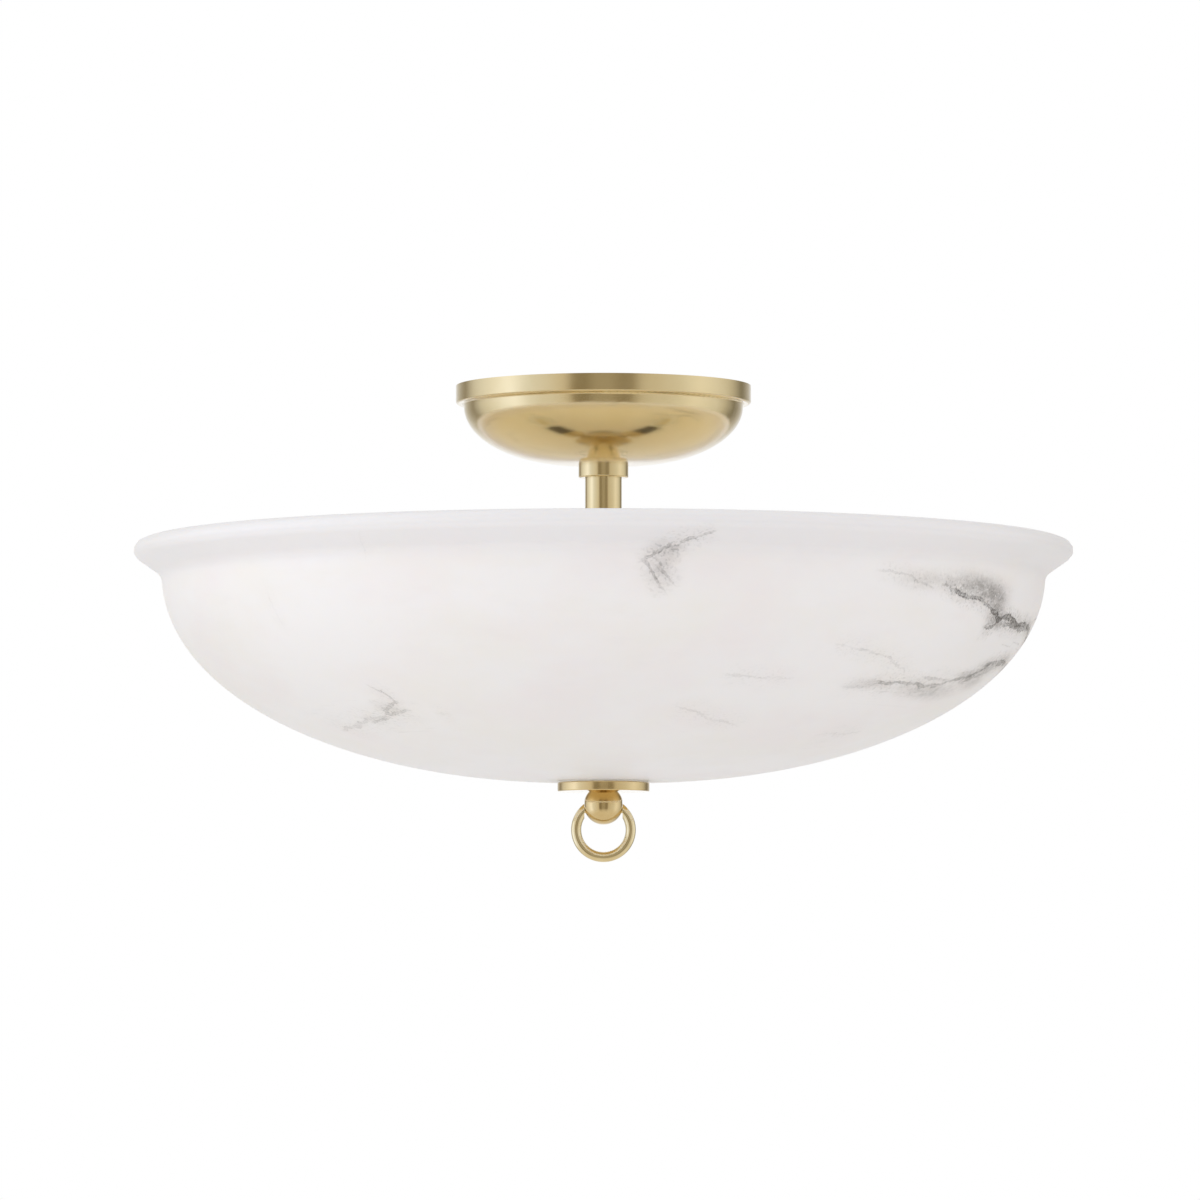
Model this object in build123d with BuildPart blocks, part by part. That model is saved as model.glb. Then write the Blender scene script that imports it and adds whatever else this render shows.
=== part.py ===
from build123d import *

import os
from math import asin, atan2, cos, degrees, radians, sin, sqrt, tan

# Semi-flush ceiling light: a turned alabaster bowl hangs under a brass canopy on a short brass stem.
# A disc, a ball and a drop ring under the bowl form the finial that screws onto the tie rod and carries it.
# All sizes are in millimetres. The origin lies on the axis in the ceiling plane, and +Z points up.

# Clearances between pieces
FIT_GAP = 0.05
RUNNING_GAP = 0.1
LOOSE_GAP = 0.3

# How near an edge must lie to a level to be taken as lying on it
LEVEL_TOLERANCE = 0.001

# Ceiling strap, which bridges the outlet box and drops in the middle to clear the nut
STRAP_LENGTH = 106.0
STRAP_WIDTH = 20.0
STRAP_SHEET = 2.0
STRAP_DROP = 8.0
STRAP_FOOT = 20.0
STRAP_LEG_RUN = 6.0
STRAP_CORNER = 3.0
BOX_SCREW_SPACING = 88.9
BOX_SLOT_WIDTH = 4.8
BOX_SLOT_LENGTH = 12.0
GROUND_SCREW_X = 17.0
GROUND_SCREW_D = 4.0
GROUND_SCREW_LENGTH = 6.0
GROUND_HEAD_D = 8.0
GROUND_HEAD_HEIGHT = 2.4
DRIVER_SLOT_WIDTH = 1.0
DRIVER_SLOT_DEPTH = 1.1

# Share of a screw head's height that its rounded edge takes
HEAD_ROUND_SHARE = 1 / 3

# Threaded tubes and their nuts
PIPE_D = 10.2
PIPE_BORE = 7.0
PIPE_STICK_OUT = 1.0
PIPE_NUT_FLATS = 14.3
PIPE_NUT_HEIGHT = 3.2
WASHER_D = 17.0
WASHER_SHEET = 1.0

# Stem
STEM_D = 15.9
STEM_WALL = 1.2
BUSHING_FLANGE = 2.0
BUSHING_DEPTH = 12.0

# Canopy and the slip ring that holds it up
CANOPY_D = 128.0
CANOPY_BAND = 7.9
CANOPY_BAND_EDGE = 1.2
CANOPY_LEDGE = 3.5
CANOPY_COVE = 0.8
CANOPY_DEPTH = 34.1
CANOPY_SHOULDER = 1.1
CANOPY_LAND_D = 22.0
CANOPY_WALL_PULL = 12.8
CANOPY_FLOOR_PULL = 30.7
CANOPY_SHEET = 1.2
SLIP_RING_D = 21.6
SLIP_RING_HEIGHT = 5.8
SLIP_RING_EDGE = 0.6
SLIP_SCREW_D = 3.0

# Lamp hub at the foot of the stem
HUB_DROP = 88.0
HUB_D = 42.0
HUB_WALL = 7.0
HUB_FLOOR = 4.0
HUB_COVER = 3.0
HUB_CUP_HEIGHT = 28.0
HUB_EDGE = 0.6
COVER_SCREW_COUNT = 3
COVER_SCREW_D = 3.0
COVER_SCREW_BITE = 7.0
COVER_HEAD_D = 5.0
COVER_HEAD_HEIGHT = 2.0
TERMINAL_BLOCK_D = 17.0
TERMINAL_BLOCK_HEIGHT = 9.0
LEAD_D = 1.8
LEAD_OFFSET = 2.0

# Lampholders and candle bulbs, measured outwards along each arm
ARM_COUNT = 3
FIRST_ARM_ANGLE = 90.0
ARM_SHOW = 4.0
ARM_BITE = 4.0
HOLDER_CAP_D = 23.0
HOLDER_CAP_WALL = 1.2
HOLDER_CAP_BACK = 2.4
HOLDER_CAP_LENGTH = 13.0
HOLDER_BODY_LENGTH = 31.0
HOLDER_BODY_BACK = 5.0
HOLDER_BODY_EDGE = 0.8
SHELL_LENGTH = 22.0
SHELL_WALL = 0.8
CONTACT_D = 5.0
CONTACT_HEIGHT = 3.0
CONTACT_TAPER = 1.0
CONTACT_TIP_D = 3.4
BULB_BASE_D = 11.8
BULB_BASE_LENGTH = 18.0
BULB_TIP_D = 4.4
BULB_TIP_LENGTH = 1.6
BULB_INSULATOR_LENGTH = 2.5
BULB_NECK_D = 10.2
BULB_NECK_BITE = 8.0
BULB_D = 35.0
BULB_LENGTH = 76.0
BULB_SHOULDER = 25.0
BULB_WALL = 0.8
BULB_TIP_PULL = 5.0
MOUNT_ROD_D = 3.0
MOUNT_SEAT = 2.0
MOUNT_CONE = 8.0
CARRIER_D = 11.0
CARRIER_SHEET = 0.8
FILAMENT_COUNT = 4
FILAMENT_D = 1.8
FILAMENT_CIRCLE_D = 8.4
FILAMENT_START = 11.0
FILAMENT_LENGTH = 30.0

# Alabaster bowl
BOWL_D = 406.4
BOWL_DROP = 68.15
BOWL_DEPTH = 103.2
BOWL_WALL = 8.0
LIP_OVERHANG = 11.9
LIP_SLOPE = 35.0
NECK_FILLET = 6.1
WALL_DRAFT = 4.5
BELLY_WALL_PULL = 54.0
BELLY_FLOOR_PULL = 81.5
SEAT_D = 42.0
BOWL_HOLE_D = 12.0

# Tie rod through the bowl, with its nuts, washer, bushing and gasket
ROD_D = 6.35
ROD_NUT_FLATS = 11.1
ROD_NUT_HEIGHT = 5.5
CHECK_WASHER_D = 40.0
CHECK_WASHER_SHEET = 1.6
BOWL_BUSHING_FLANGE_D = 26.0
BOWL_BUSHING_FLANGE = 1.5
BOWL_BUSHING_SHORT = 0.5
GASKET_D = 38.8
GASKET_SHEET = 0.6

# Finial: disc, ball and drop ring
DISC_D = 39.8
DISC_HEIGHT = 4.0
DISC_EDGE = 0.5
BALL_D = 17.0
BALL_SINK = 5.8
BALL_FLAT_INSET = 0.35
BALL_THREAD_DEPTH = 4.4
BALL_THREAD_FLOOR = 0.4
RING_D = 28.0
RING_BAR_D = 4.4
RING_DROP = 10.7
RING_PIN_D = 2.6
RING_PIN_LENGTH = 4.6

# Levels that follow from the sizes above
BRIDGE_TOP_Z = -STRAP_DROP
BRIDGE_BOTTOM_Z = BRIDGE_TOP_Z - STRAP_SHEET
HANGER_NUT_TOP_Z = BRIDGE_TOP_Z + PIPE_NUT_HEIGHT
HANGER_TOP_Z = HANGER_NUT_TOP_Z + PIPE_STICK_OUT
WASHER_BOTTOM_Z = BRIDGE_BOTTOM_Z - WASHER_SHEET
STEM_TOP_Z = WASHER_BOTTOM_Z - BUSHING_FLANGE
HUB_TOP_Z = -HUB_DROP
STEM_BOTTOM_Z = HUB_TOP_Z + BUSHING_FLANGE
CUP_TOP_Z = HUB_TOP_Z - HUB_COVER
CUP_BOTTOM_Z = CUP_TOP_Z - HUB_CUP_HEIGHT
CUP_FLOOR_Z = CUP_BOTTOM_Z + HUB_FLOOR
HUB_NUT_BOTTOM_Z = CUP_TOP_Z - PIPE_NUT_HEIGHT
HUB_PIPE_BOTTOM_Z = HUB_NUT_BOTTOM_Z - PIPE_STICK_OUT
ROD_TOP_Z = CUP_FLOOR_Z + ROD_NUT_HEIGHT
BLOCK_TOP_Z = ROD_TOP_Z + TERMINAL_BLOCK_HEIGHT
ARM_Z = ROD_TOP_Z + TERMINAL_BLOCK_HEIGHT / 2
CANOPY_BOTTOM_Z = -CANOPY_DEPTH
SLIP_RING_MIDDLE_Z = CANOPY_BOTTOM_Z - SLIP_RING_HEIGHT / 2
BOWL_TOP_Z = -BOWL_DROP
SEAT_Z = BOWL_TOP_Z - BOWL_DEPTH
BOWL_FLOOR_Z = SEAT_Z + BOWL_WALL
DISC_TOP_Z = SEAT_Z - GASKET_SHEET
DISC_BOTTOM_Z = DISC_TOP_Z - DISC_HEIGHT
BALL_Z = DISC_BOTTOM_Z - BALL_SINK
THREAD_END_Z = DISC_BOTTOM_Z - BALL_THREAD_DEPTH
ROD_BOTTOM_Z = THREAD_END_Z + BALL_THREAD_FLOOR
CHECK_WASHER_Z = BOWL_FLOOR_Z + BOWL_BUSHING_FLANGE + LOOSE_GAP
CHECK_NUT_Z = CHECK_WASHER_Z + CHECK_WASHER_SHEET

# Distances along an arm, from the light's axis outwards
ARM_START = HUB_D / 2 - HUB_WALL
CAP_START = HUB_D / 2 + ARM_SHOW
CAP_FLOOR = CAP_START + HOLDER_CAP_BACK
CAP_END = CAP_START + HOLDER_CAP_LENGTH
ARM_END = CAP_FLOOR + ARM_BITE
BODY_START = ARM_END + LOOSE_GAP
BODY_FLOOR = BODY_START + HOLDER_BODY_BACK
BODY_END = BODY_START + HOLDER_BODY_LENGTH
CONTACT_END = BODY_FLOOR + CONTACT_HEIGHT
SHELL_END = BODY_FLOOR + SHELL_LENGTH
BASE_START = CONTACT_END + RUNNING_GAP
BASE_SHOULDER = BASE_START + BULB_TIP_LENGTH
BASE_BARREL = BASE_SHOULDER + BULB_INSULATOR_LENGTH
BASE_END = BASE_BARREL + BULB_BASE_LENGTH
NECK_START = BASE_END - BULB_NECK_BITE
BULGE = BASE_END + BULB_SHOULDER
BULB_END = BASE_END + BULB_LENGTH
MOUNT_START = NECK_START + BULB_WALL
FILAMENT_FROM = BASE_END + FILAMENT_START
FILAMENT_TO = FILAMENT_FROM + FILAMENT_LENGTH

# Bores and turned sizes that follow from their mates
PIPE_HOLE_D = PIPE_D + 2 * FIT_GAP
STEM_BORE = STEM_D - 2 * STEM_WALL
SHELL_BORE = BULB_BASE_D + 2 * RUNNING_GAP
SHELL_D = SHELL_BORE + 2 * SHELL_WALL
HOLDER_BORE = SHELL_D + 2 * FIT_GAP
HOLDER_BODY_D = HOLDER_CAP_D - 2 * HOLDER_CAP_WALL - 2 * FIT_GAP
ROD_HOLE_D = ROD_D + 2 * RUNNING_GAP
THREAD_BORE = ROD_D + 2 * FIT_GAP
COVER_SCREW_CIRCLE = (HUB_D - HUB_WALL) / 2

os.makedirs("parts", exist_ok=True)

# Ceiling strap: two feet against the outlet box, joined by a dropped bridge
foot_inner_x = STRAP_LENGTH / 2 - STRAP_FOOT
bridge_end_x = foot_inner_x - STRAP_LEG_RUN
bend_shift = STRAP_SHEET * tan(atan2(STRAP_DROP, STRAP_LEG_RUN) / 2)
strap_half = [
    (STRAP_LENGTH / 2, 0),
    (foot_inner_x, 0),
    (bridge_end_x, BRIDGE_TOP_Z),
    (0, BRIDGE_TOP_Z),
    (0, BRIDGE_BOTTOM_Z),
    (bridge_end_x + bend_shift, BRIDGE_BOTTOM_Z),
    (foot_inner_x + bend_shift, -STRAP_SHEET),
    (STRAP_LENGTH / 2, -STRAP_SHEET),
]
with BuildPart() as mounting_strap:
    with BuildSketch(Plane.XZ):
        with BuildLine():
            Polyline(*strap_half, close=True)
        make_face()
        mirror(about=Plane.YZ)
    extrude(amount=STRAP_WIDTH / 2, both=True)
    upright_edges = mounting_strap.edges().filter_by(Axis.Z).sort_by(Axis.X)
    fillet(upright_edges[:2] + upright_edges[-2:], radius=STRAP_CORNER)
    with BuildSketch(Plane.XY):
        with GridLocations(BOX_SCREW_SPACING, 0, 2, 1):
            SlotOverall(BOX_SLOT_LENGTH, BOX_SLOT_WIDTH)
    extrude(amount=-STRAP_SHEET, mode=Mode.SUBTRACT)
    with BuildSketch(Plane.XY.offset(BRIDGE_TOP_Z)):
        Circle(PIPE_HOLE_D / 2)
        with Locations((GROUND_SCREW_X, 0)):
            Circle(GROUND_SCREW_D / 2 + FIT_GAP)
    extrude(amount=-STRAP_SHEET, mode=Mode.SUBTRACT)
mounting_strap.part.label = "mounting_strap"
export_step(mounting_strap.part, "parts/mounting_strap.step")

# Ground screw, driven up into the bridge from below
with BuildPart() as ground_screw:
    with BuildSketch(Plane.XY.offset(BRIDGE_BOTTOM_Z)):
        with Locations((GROUND_SCREW_X, 0)):
            Circle(GROUND_SCREW_D / 2)
    extrude(amount=GROUND_SCREW_LENGTH)
    with BuildSketch(Plane.XY.offset(BRIDGE_BOTTOM_Z)):
        with Locations((GROUND_SCREW_X, 0)):
            Circle(GROUND_HEAD_D / 2)
    extrude(amount=-GROUND_HEAD_HEIGHT)
    fillet(ground_screw.edges().group_by(Axis.Z)[0], radius=GROUND_HEAD_HEIGHT * HEAD_ROUND_SHARE)
    with BuildSketch(Plane.XY.offset(BRIDGE_BOTTOM_Z - GROUND_HEAD_HEIGHT)):
        with Locations((GROUND_SCREW_X, 0)):
            Rectangle(GROUND_HEAD_D, DRIVER_SLOT_WIDTH)
    extrude(amount=DRIVER_SLOT_DEPTH, mode=Mode.SUBTRACT)
ground_screw.part.label = "ground_screw"
export_step(ground_screw.part, "parts/ground_screw.step")


def round_tube(top_z, bottom_z, outside_d, bore_d):
    """A plain round tube on the light's axis."""
    with BuildPart() as tube:
        with BuildSketch(Plane.XY.offset(bottom_z)):
            Circle(outside_d / 2)
            Circle(bore_d / 2, mode=Mode.SUBTRACT)
        extrude(amount=top_z - bottom_z)
    return tube


def hex_nuts(bottom_levels, across_flats, height, bore_d):
    """Hexagon nuts on the light's axis, one above each level."""
    with BuildPart() as nuts:
        for bottom_z in bottom_levels:
            with BuildSketch(Plane.XY.offset(bottom_z)):
                RegularPolygon(across_flats / 2, 6, major_radius=False)
                Circle(bore_d / 2, mode=Mode.SUBTRACT)
            extrude(amount=height)
    return nuts


def stem_bushing(flange_z, direction):
    """A flanged bushing that closes one end of the stem; direction is the way its sleeve points."""
    with BuildPart() as bushing:
        with BuildSketch(Plane.XY.offset(flange_z)):
            Circle(STEM_D / 2)
            Circle(PIPE_HOLE_D / 2, mode=Mode.SUBTRACT)
        extrude(amount=direction * BUSHING_FLANGE)
        with BuildSketch(Plane.XY.offset(flange_z + direction * BUSHING_FLANGE)):
            Circle(STEM_BORE / 2 - FIT_GAP)
            Circle(PIPE_HOLE_D / 2, mode=Mode.SUBTRACT)
        extrude(amount=direction * BUSHING_DEPTH)
    return bushing


# Hanger pipe, nut and washer that clamp the stem to the strap
hanger_pipe = round_tube(HANGER_TOP_Z, STEM_TOP_Z - BUSHING_DEPTH, PIPE_D, PIPE_BORE)
hanger_pipe.part.label = "hanger_pipe"
export_step(hanger_pipe.part, "parts/hanger_pipe.step")

hanger_nut = hex_nuts([BRIDGE_TOP_Z], PIPE_NUT_FLATS, PIPE_NUT_HEIGHT, PIPE_HOLE_D)
hanger_nut.part.label = "hanger_nut"
export_step(hanger_nut.part, "parts/hanger_nut.step")

lock_washer = round_tube(BRIDGE_BOTTOM_Z, WASHER_BOTTOM_Z, WASHER_D, PIPE_HOLE_D)
lock_washer.part.label = "lock_washer"
export_step(lock_washer.part, "parts/lock_washer.step")

# Stem and the bushings at its two ends
stem_top_bushing = stem_bushing(WASHER_BOTTOM_Z, -1)
stem_top_bushing.part.label = "stem_top_bushing"
export_step(stem_top_bushing.part, "parts/stem_top_bushing.step")

stem_tube = round_tube(STEM_TOP_Z, STEM_BOTTOM_Z, STEM_D, STEM_BORE)
stem_tube.part.label = "stem_tube"
export_step(stem_tube.part, "parts/stem_tube.step")

stem_foot_bushing = stem_bushing(HUB_TOP_Z, 1)
stem_foot_bushing.part.label = "stem_foot_bushing"
export_step(stem_foot_bushing.part, "parts/stem_foot_bushing.step")

hub_pipe = round_tube(STEM_BOTTOM_Z + BUSHING_DEPTH, HUB_PIPE_BOTTOM_Z, PIPE_D, PIPE_BORE)
hub_pipe.part.label = "hub_pipe"
export_step(hub_pipe.part, "parts/hub_pipe.step")

hub_nut = hex_nuts([HUB_NUT_BOTTOM_Z], PIPE_NUT_FLATS, PIPE_NUT_HEIGHT, PIPE_HOLE_D)
hub_nut.part.label = "hub_nut"
export_step(hub_nut.part, "parts/hub_nut.step")


def canopy_side(inset, floor_pull):
    """The canopy's line from rim to flat bottom, moved inwards by inset."""
    rim_r = CANOPY_D / 2 - inset
    dome_r = CANOPY_D / 2 - CANOPY_LEDGE - inset
    ledge_z = -CANOPY_BAND + inset
    dome_z = -CANOPY_BAND - CANOPY_SHOULDER
    floor_z = CANOPY_BOTTOM_Z + inset
    land_r = CANOPY_LAND_D / 2
    Polyline((rim_r, 0), (rim_r, ledge_z), (dome_r, ledge_z), (dome_r, dome_z))
    Bezier(
        (dome_r, dome_z),
        (dome_r, dome_z - CANOPY_WALL_PULL),
        (land_r + floor_pull, floor_z),
        (land_r, floor_z),
    )
    Line((land_r, floor_z), (STEM_D / 2 + LOOSE_GAP, floor_z))


# Canopy: a spun cup with a straight band, a small ledge and a dome that flattens around the stem
with BuildPart() as canopy_shell:
    with BuildSketch(Plane.XZ):
        with BuildLine():
            canopy_side(0, CANOPY_FLOOR_PULL)
            canopy_side(CANOPY_SHEET, CANOPY_FLOOR_PULL - CANOPY_SHEET / 2)
            stem_gap_r = STEM_D / 2 + LOOSE_GAP
            Line((stem_gap_r, CANOPY_BOTTOM_Z), (stem_gap_r, CANOPY_BOTTOM_Z + CANOPY_SHEET))
            Line((CANOPY_D / 2, 0), (CANOPY_D / 2 - CANOPY_SHEET, 0))
        make_face()
    revolve(axis=Axis.Z)
    ledge_edges = canopy_shell.edges().filter_by(GeomType.CIRCLE).filter_by(
        lambda e: abs(e.center().Z + CANOPY_BAND) < LEVEL_TOLERANCE
    )
    dome_corner, band_edge = ledge_edges.sort_by(SortBy.RADIUS)
    fillet(band_edge, radius=CANOPY_BAND_EDGE)
    ledge_corner = canopy_shell.edges().filter_by(GeomType.CIRCLE).sort_by_distance(dome_corner)[0]
    fillet(ledge_corner, radius=CANOPY_COVE)
canopy_shell.part.label = "canopy_shell"
export_step(canopy_shell.part, "parts/canopy_shell.step")

# Slip ring: slides on the stem and is locked by a headless screw at the back
with BuildPart() as slip_ring:
    with BuildSketch(Plane.XY.offset(CANOPY_BOTTOM_Z)):
        Circle(SLIP_RING_D / 2)
        Circle(STEM_D / 2 + RUNNING_GAP, mode=Mode.SUBTRACT)
    extrude(amount=-SLIP_RING_HEIGHT)
    fillet(slip_ring.edges().group_by(Axis.Z)[0].sort_by(SortBy.RADIUS)[-1], radius=SLIP_RING_EDGE)
    with BuildSketch(Plane.XZ):
        with Locations((0, SLIP_RING_MIDDLE_Z)):
            Circle(SLIP_SCREW_D / 2 + FIT_GAP)
    extrude(amount=-SLIP_RING_D, mode=Mode.SUBTRACT)
slip_ring.part.label = "slip_ring"
export_step(slip_ring.part, "parts/slip_ring.step")

slip_screw_tip_y = STEM_D / 2 + RUNNING_GAP
with BuildPart() as slip_ring_screw:
    with BuildSketch(Plane.XZ.offset(-slip_screw_tip_y)):
        with Locations((0, SLIP_RING_MIDDLE_Z)):
            Circle(SLIP_SCREW_D / 2)
    extrude(amount=slip_screw_tip_y - SLIP_RING_D / 2 + LOOSE_GAP)
slip_ring_screw.part.label = "slip_ring_screw"
export_step(slip_ring_screw.part, "parts/slip_ring_screw.step")

# Lamp hub: a cover on the stem's foot and a cup that carries the arms and the tie rod
cover_screw_angle = FIRST_ARM_ANGLE + 180 / ARM_COUNT
with BuildPart() as hub_cover:
    with BuildSketch(Plane.XY.offset(HUB_TOP_Z)):
        Circle(HUB_D / 2)
        Circle(PIPE_HOLE_D / 2, mode=Mode.SUBTRACT)
        with PolarLocations(COVER_SCREW_CIRCLE, COVER_SCREW_COUNT, cover_screw_angle):
            Circle(COVER_SCREW_D / 2 + RUNNING_GAP, mode=Mode.SUBTRACT)
    extrude(amount=-HUB_COVER)
    fillet(hub_cover.edges().group_by(Axis.Z)[-1].sort_by(SortBy.RADIUS)[-1], radius=HUB_EDGE)
hub_cover.part.label = "hub_cover"
export_step(hub_cover.part, "parts/hub_cover.step")

with BuildPart() as hub_cover_screws:
    with BuildSketch(Plane.XY.offset(HUB_TOP_Z)):
        with PolarLocations(COVER_SCREW_CIRCLE, COVER_SCREW_COUNT, cover_screw_angle):
            Circle(COVER_HEAD_D / 2)
    extrude(amount=COVER_HEAD_HEIGHT)
    fillet(hub_cover_screws.edges().group_by(Axis.Z)[-1], radius=COVER_HEAD_HEIGHT * HEAD_ROUND_SHARE)
    with BuildSketch(Plane.XY.offset(HUB_TOP_Z)):
        with PolarLocations(COVER_SCREW_CIRCLE, COVER_SCREW_COUNT, cover_screw_angle):
            Circle(COVER_SCREW_D / 2)
    extrude(amount=-HUB_COVER - COVER_SCREW_BITE)
    with BuildSketch(Plane.XY.offset(HUB_TOP_Z + COVER_HEAD_HEIGHT)):
        with PolarLocations(COVER_SCREW_CIRCLE, COVER_SCREW_COUNT, cover_screw_angle):
            Rectangle(COVER_HEAD_D, DRIVER_SLOT_WIDTH)
    extrude(amount=-DRIVER_SLOT_DEPTH, mode=Mode.SUBTRACT)
hub_cover_screws.part.label = "hub_cover_screws"
export_step(hub_cover_screws.part, "parts/hub_cover_screws.step")


def arm_direction(index):
    """Unit vector outwards along an arm."""
    angle = radians(FIRST_ARM_ANGLE + index * 360 / ARM_COUNT)
    return Vector(cos(angle), sin(angle), 0)


def arm_section(index):
    """The upright plane through an arm's axis: x runs outwards from the light's axis, y runs up."""
    out = arm_direction(index)
    return Plane(origin=(0, 0, ARM_Z), x_dir=out, z_dir=(out.Y, -out.X, 0))


def arm_cross(index, distance, height=0):
    """The plane across an arm at a distance from the light's axis; its normal points outwards."""
    out = arm_direction(index)
    return Plane(origin=out * distance + Vector(0, 0, ARM_Z + height), x_dir=(0, 0, 1), z_dir=out)


def arm_axis(index):
    """The axis that an arm's turned pieces share."""
    return Axis((0, 0, ARM_Z), arm_direction(index))


with BuildPart() as hub_cup:
    with BuildSketch(Plane.XY.offset(CUP_BOTTOM_Z)):
        Circle(HUB_D / 2)
    extrude(amount=HUB_CUP_HEIGHT)
    fillet(hub_cup.edges().group_by(Axis.Z)[0], radius=HUB_EDGE)
    with BuildSketch(Plane.XY.offset(CUP_FLOOR_Z)):
        Circle(HUB_D / 2 - HUB_WALL)
    extrude(amount=HUB_CUP_HEIGHT - HUB_FLOOR, mode=Mode.SUBTRACT)
    with BuildSketch(Plane.XY.offset(CUP_BOTTOM_Z)):
        Circle(ROD_HOLE_D / 2)
    extrude(amount=HUB_FLOOR, mode=Mode.SUBTRACT)
    with BuildSketch(Plane.XY.offset(CUP_TOP_Z)):
        with PolarLocations(COVER_SCREW_CIRCLE, COVER_SCREW_COUNT, cover_screw_angle):
            Circle(COVER_SCREW_D / 2 + FIT_GAP)
    extrude(amount=-COVER_SCREW_BITE - LOOSE_GAP, mode=Mode.SUBTRACT)
    for arm in range(ARM_COUNT):
        with BuildSketch(arm_cross(arm, 0)):
            Circle(PIPE_HOLE_D / 2)
        extrude(amount=HUB_D, mode=Mode.SUBTRACT)
hub_cup.part.label = "hub_cup"
export_step(hub_cup.part, "parts/hub_cup.step")

# Wiring held inside the stem and the arms: a block in the hub joins each stem lead to the lampholders
with BuildPart() as terminal_block:
    with BuildSketch(Plane.XY.offset(ROD_TOP_Z)):
        Circle(TERMINAL_BLOCK_D / 2)
    extrude(amount=TERMINAL_BLOCK_HEIGHT)
    chamfer(terminal_block.edges().group_by(Axis.Z)[-1], length=HUB_EDGE)
terminal_block.part.label = "terminal_block"
export_step(terminal_block.part, "parts/terminal_block.step")

for lead_name, side in (("live_leads", 1), ("neutral_leads", -1)):
    with BuildPart() as leads:
        with BuildSketch(Plane.XY.offset(BLOCK_TOP_Z)):
            with Locations((side * LEAD_OFFSET, 0)):
                Circle(LEAD_D / 2)
        extrude(amount=HANGER_TOP_Z - BLOCK_TOP_Z)
        for arm in range(ARM_COUNT):
            lead_start = TERMINAL_BLOCK_D / 2 + RUNNING_GAP
            with BuildSketch(arm_cross(arm, lead_start, side * LEAD_OFFSET)):
                Circle(LEAD_D / 2)
            extrude(amount=BODY_START - lead_start)
    leads.part.label = lead_name
    export_step(leads.part, f"parts/{lead_name}.step")


def turned_on_arm(index, outline):
    """A solid turned about an arm's axis from points given as distance out and radius."""
    with BuildPart() as piece:
        with BuildSketch(arm_section(index)):
            with BuildLine():
                Polyline(*outline, close=True)
            make_face()
        revolve(axis=arm_axis(index))
    return piece


def bulb_side(inset):
    """One side of the bulb's glass, from the neck to the point, moved inwards by inset."""
    neck_r = BULB_NECK_D / 2 - inset
    bulge_r = BULB_D / 2 - inset
    end = BULB_END - inset
    Line((NECK_START, neck_r), (BASE_END, neck_r))
    shoulder_middle = BASE_END + BULB_SHOULDER / 2
    Bezier((BASE_END, neck_r), (shoulder_middle, neck_r), (shoulder_middle, bulge_r), (BULGE, bulge_r))
    Bezier((BULGE, bulge_r), ((BULGE + end) / 2, bulge_r), (end, BULB_TIP_PULL), (end, 0))


# Lampholders: a threaded arm, a metal cap, an insulating body, a screw shell and a sprung contact
pipe_r = PIPE_D / 2
pipe_bore_r = PIPE_BORE / 2
cap_r = HOLDER_CAP_D / 2
body_r = HOLDER_BODY_D / 2
holder_bore_r = HOLDER_BORE / 2
base_r = BULB_BASE_D / 2
tip_r = BULB_TIP_D / 2
pocket_r = BULB_NECK_D / 2 + FIT_GAP
neck_bore_r = BULB_NECK_D / 2 - BULB_WALL - FIT_GAP
mount_r = MOUNT_ROD_D / 2
arm_outline = [(ARM_START, pipe_bore_r), (ARM_END, pipe_bore_r), (ARM_END, pipe_r), (ARM_START, pipe_r)]
cap_outline = [
    (CAP_START, PIPE_HOLE_D / 2),
    (CAP_START, cap_r),
    (CAP_END, cap_r),
    (CAP_END, cap_r - HOLDER_CAP_WALL),
    (CAP_FLOOR, cap_r - HOLDER_CAP_WALL),
    (CAP_FLOOR, PIPE_HOLE_D / 2),
]
body_outline = [
    (BODY_START, 0),
    (BODY_START, body_r),
    (BODY_END - HOLDER_BODY_EDGE, body_r),
    (BODY_END, body_r - HOLDER_BODY_EDGE),
    (BODY_END, holder_bore_r),
    (BODY_FLOOR, holder_bore_r),
    (BODY_FLOOR, 0),
]
shell_outline = [
    (BODY_FLOOR, SHELL_BORE / 2),
    (SHELL_END, SHELL_BORE / 2),
    (SHELL_END, SHELL_D / 2),
    (BODY_FLOOR, SHELL_D / 2),
]
contact_outline = [
    (BODY_FLOOR, 0),
    (BODY_FLOOR, CONTACT_D / 2),
    (CONTACT_END - CONTACT_TAPER, CONTACT_D / 2),
    (CONTACT_END, CONTACT_TIP_D / 2),
    (CONTACT_END, 0),
]
base_outline = [
    (BASE_START, 0),
    (BASE_START, tip_r),
    (BASE_SHOULDER, tip_r),
    (BASE_BARREL, base_r),
    (BASE_END, base_r),
    (BASE_END, pocket_r),
    (NECK_START, pocket_r),
    (NECK_START, 0),
]
mount_outline = [
    (MOUNT_START, 0),
    (MOUNT_START, neck_bore_r),
    (MOUNT_START + MOUNT_SEAT, neck_bore_r),
    (MOUNT_START + MOUNT_SEAT + MOUNT_CONE, mount_r),
    (FILAMENT_FROM - CARRIER_SHEET, mount_r),
    (FILAMENT_FROM - CARRIER_SHEET, CARRIER_D / 2),
    (FILAMENT_FROM, CARRIER_D / 2),
    (FILAMENT_FROM, mount_r),
    (FILAMENT_TO, mount_r),
    (FILAMENT_TO, CARRIER_D / 2),
    (FILAMENT_TO + CARRIER_SHEET, CARRIER_D / 2),
    (FILAMENT_TO + CARRIER_SHEET, 0),
]
turned_pieces = {
    "socket_arm": arm_outline,
    "holder_cap": cap_outline,
    "holder_body": body_outline,
    "screw_shell": shell_outline,
    "centre_contact": contact_outline,
    "bulb_base": base_outline,
    "filament_mount": mount_outline,
}
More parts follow.
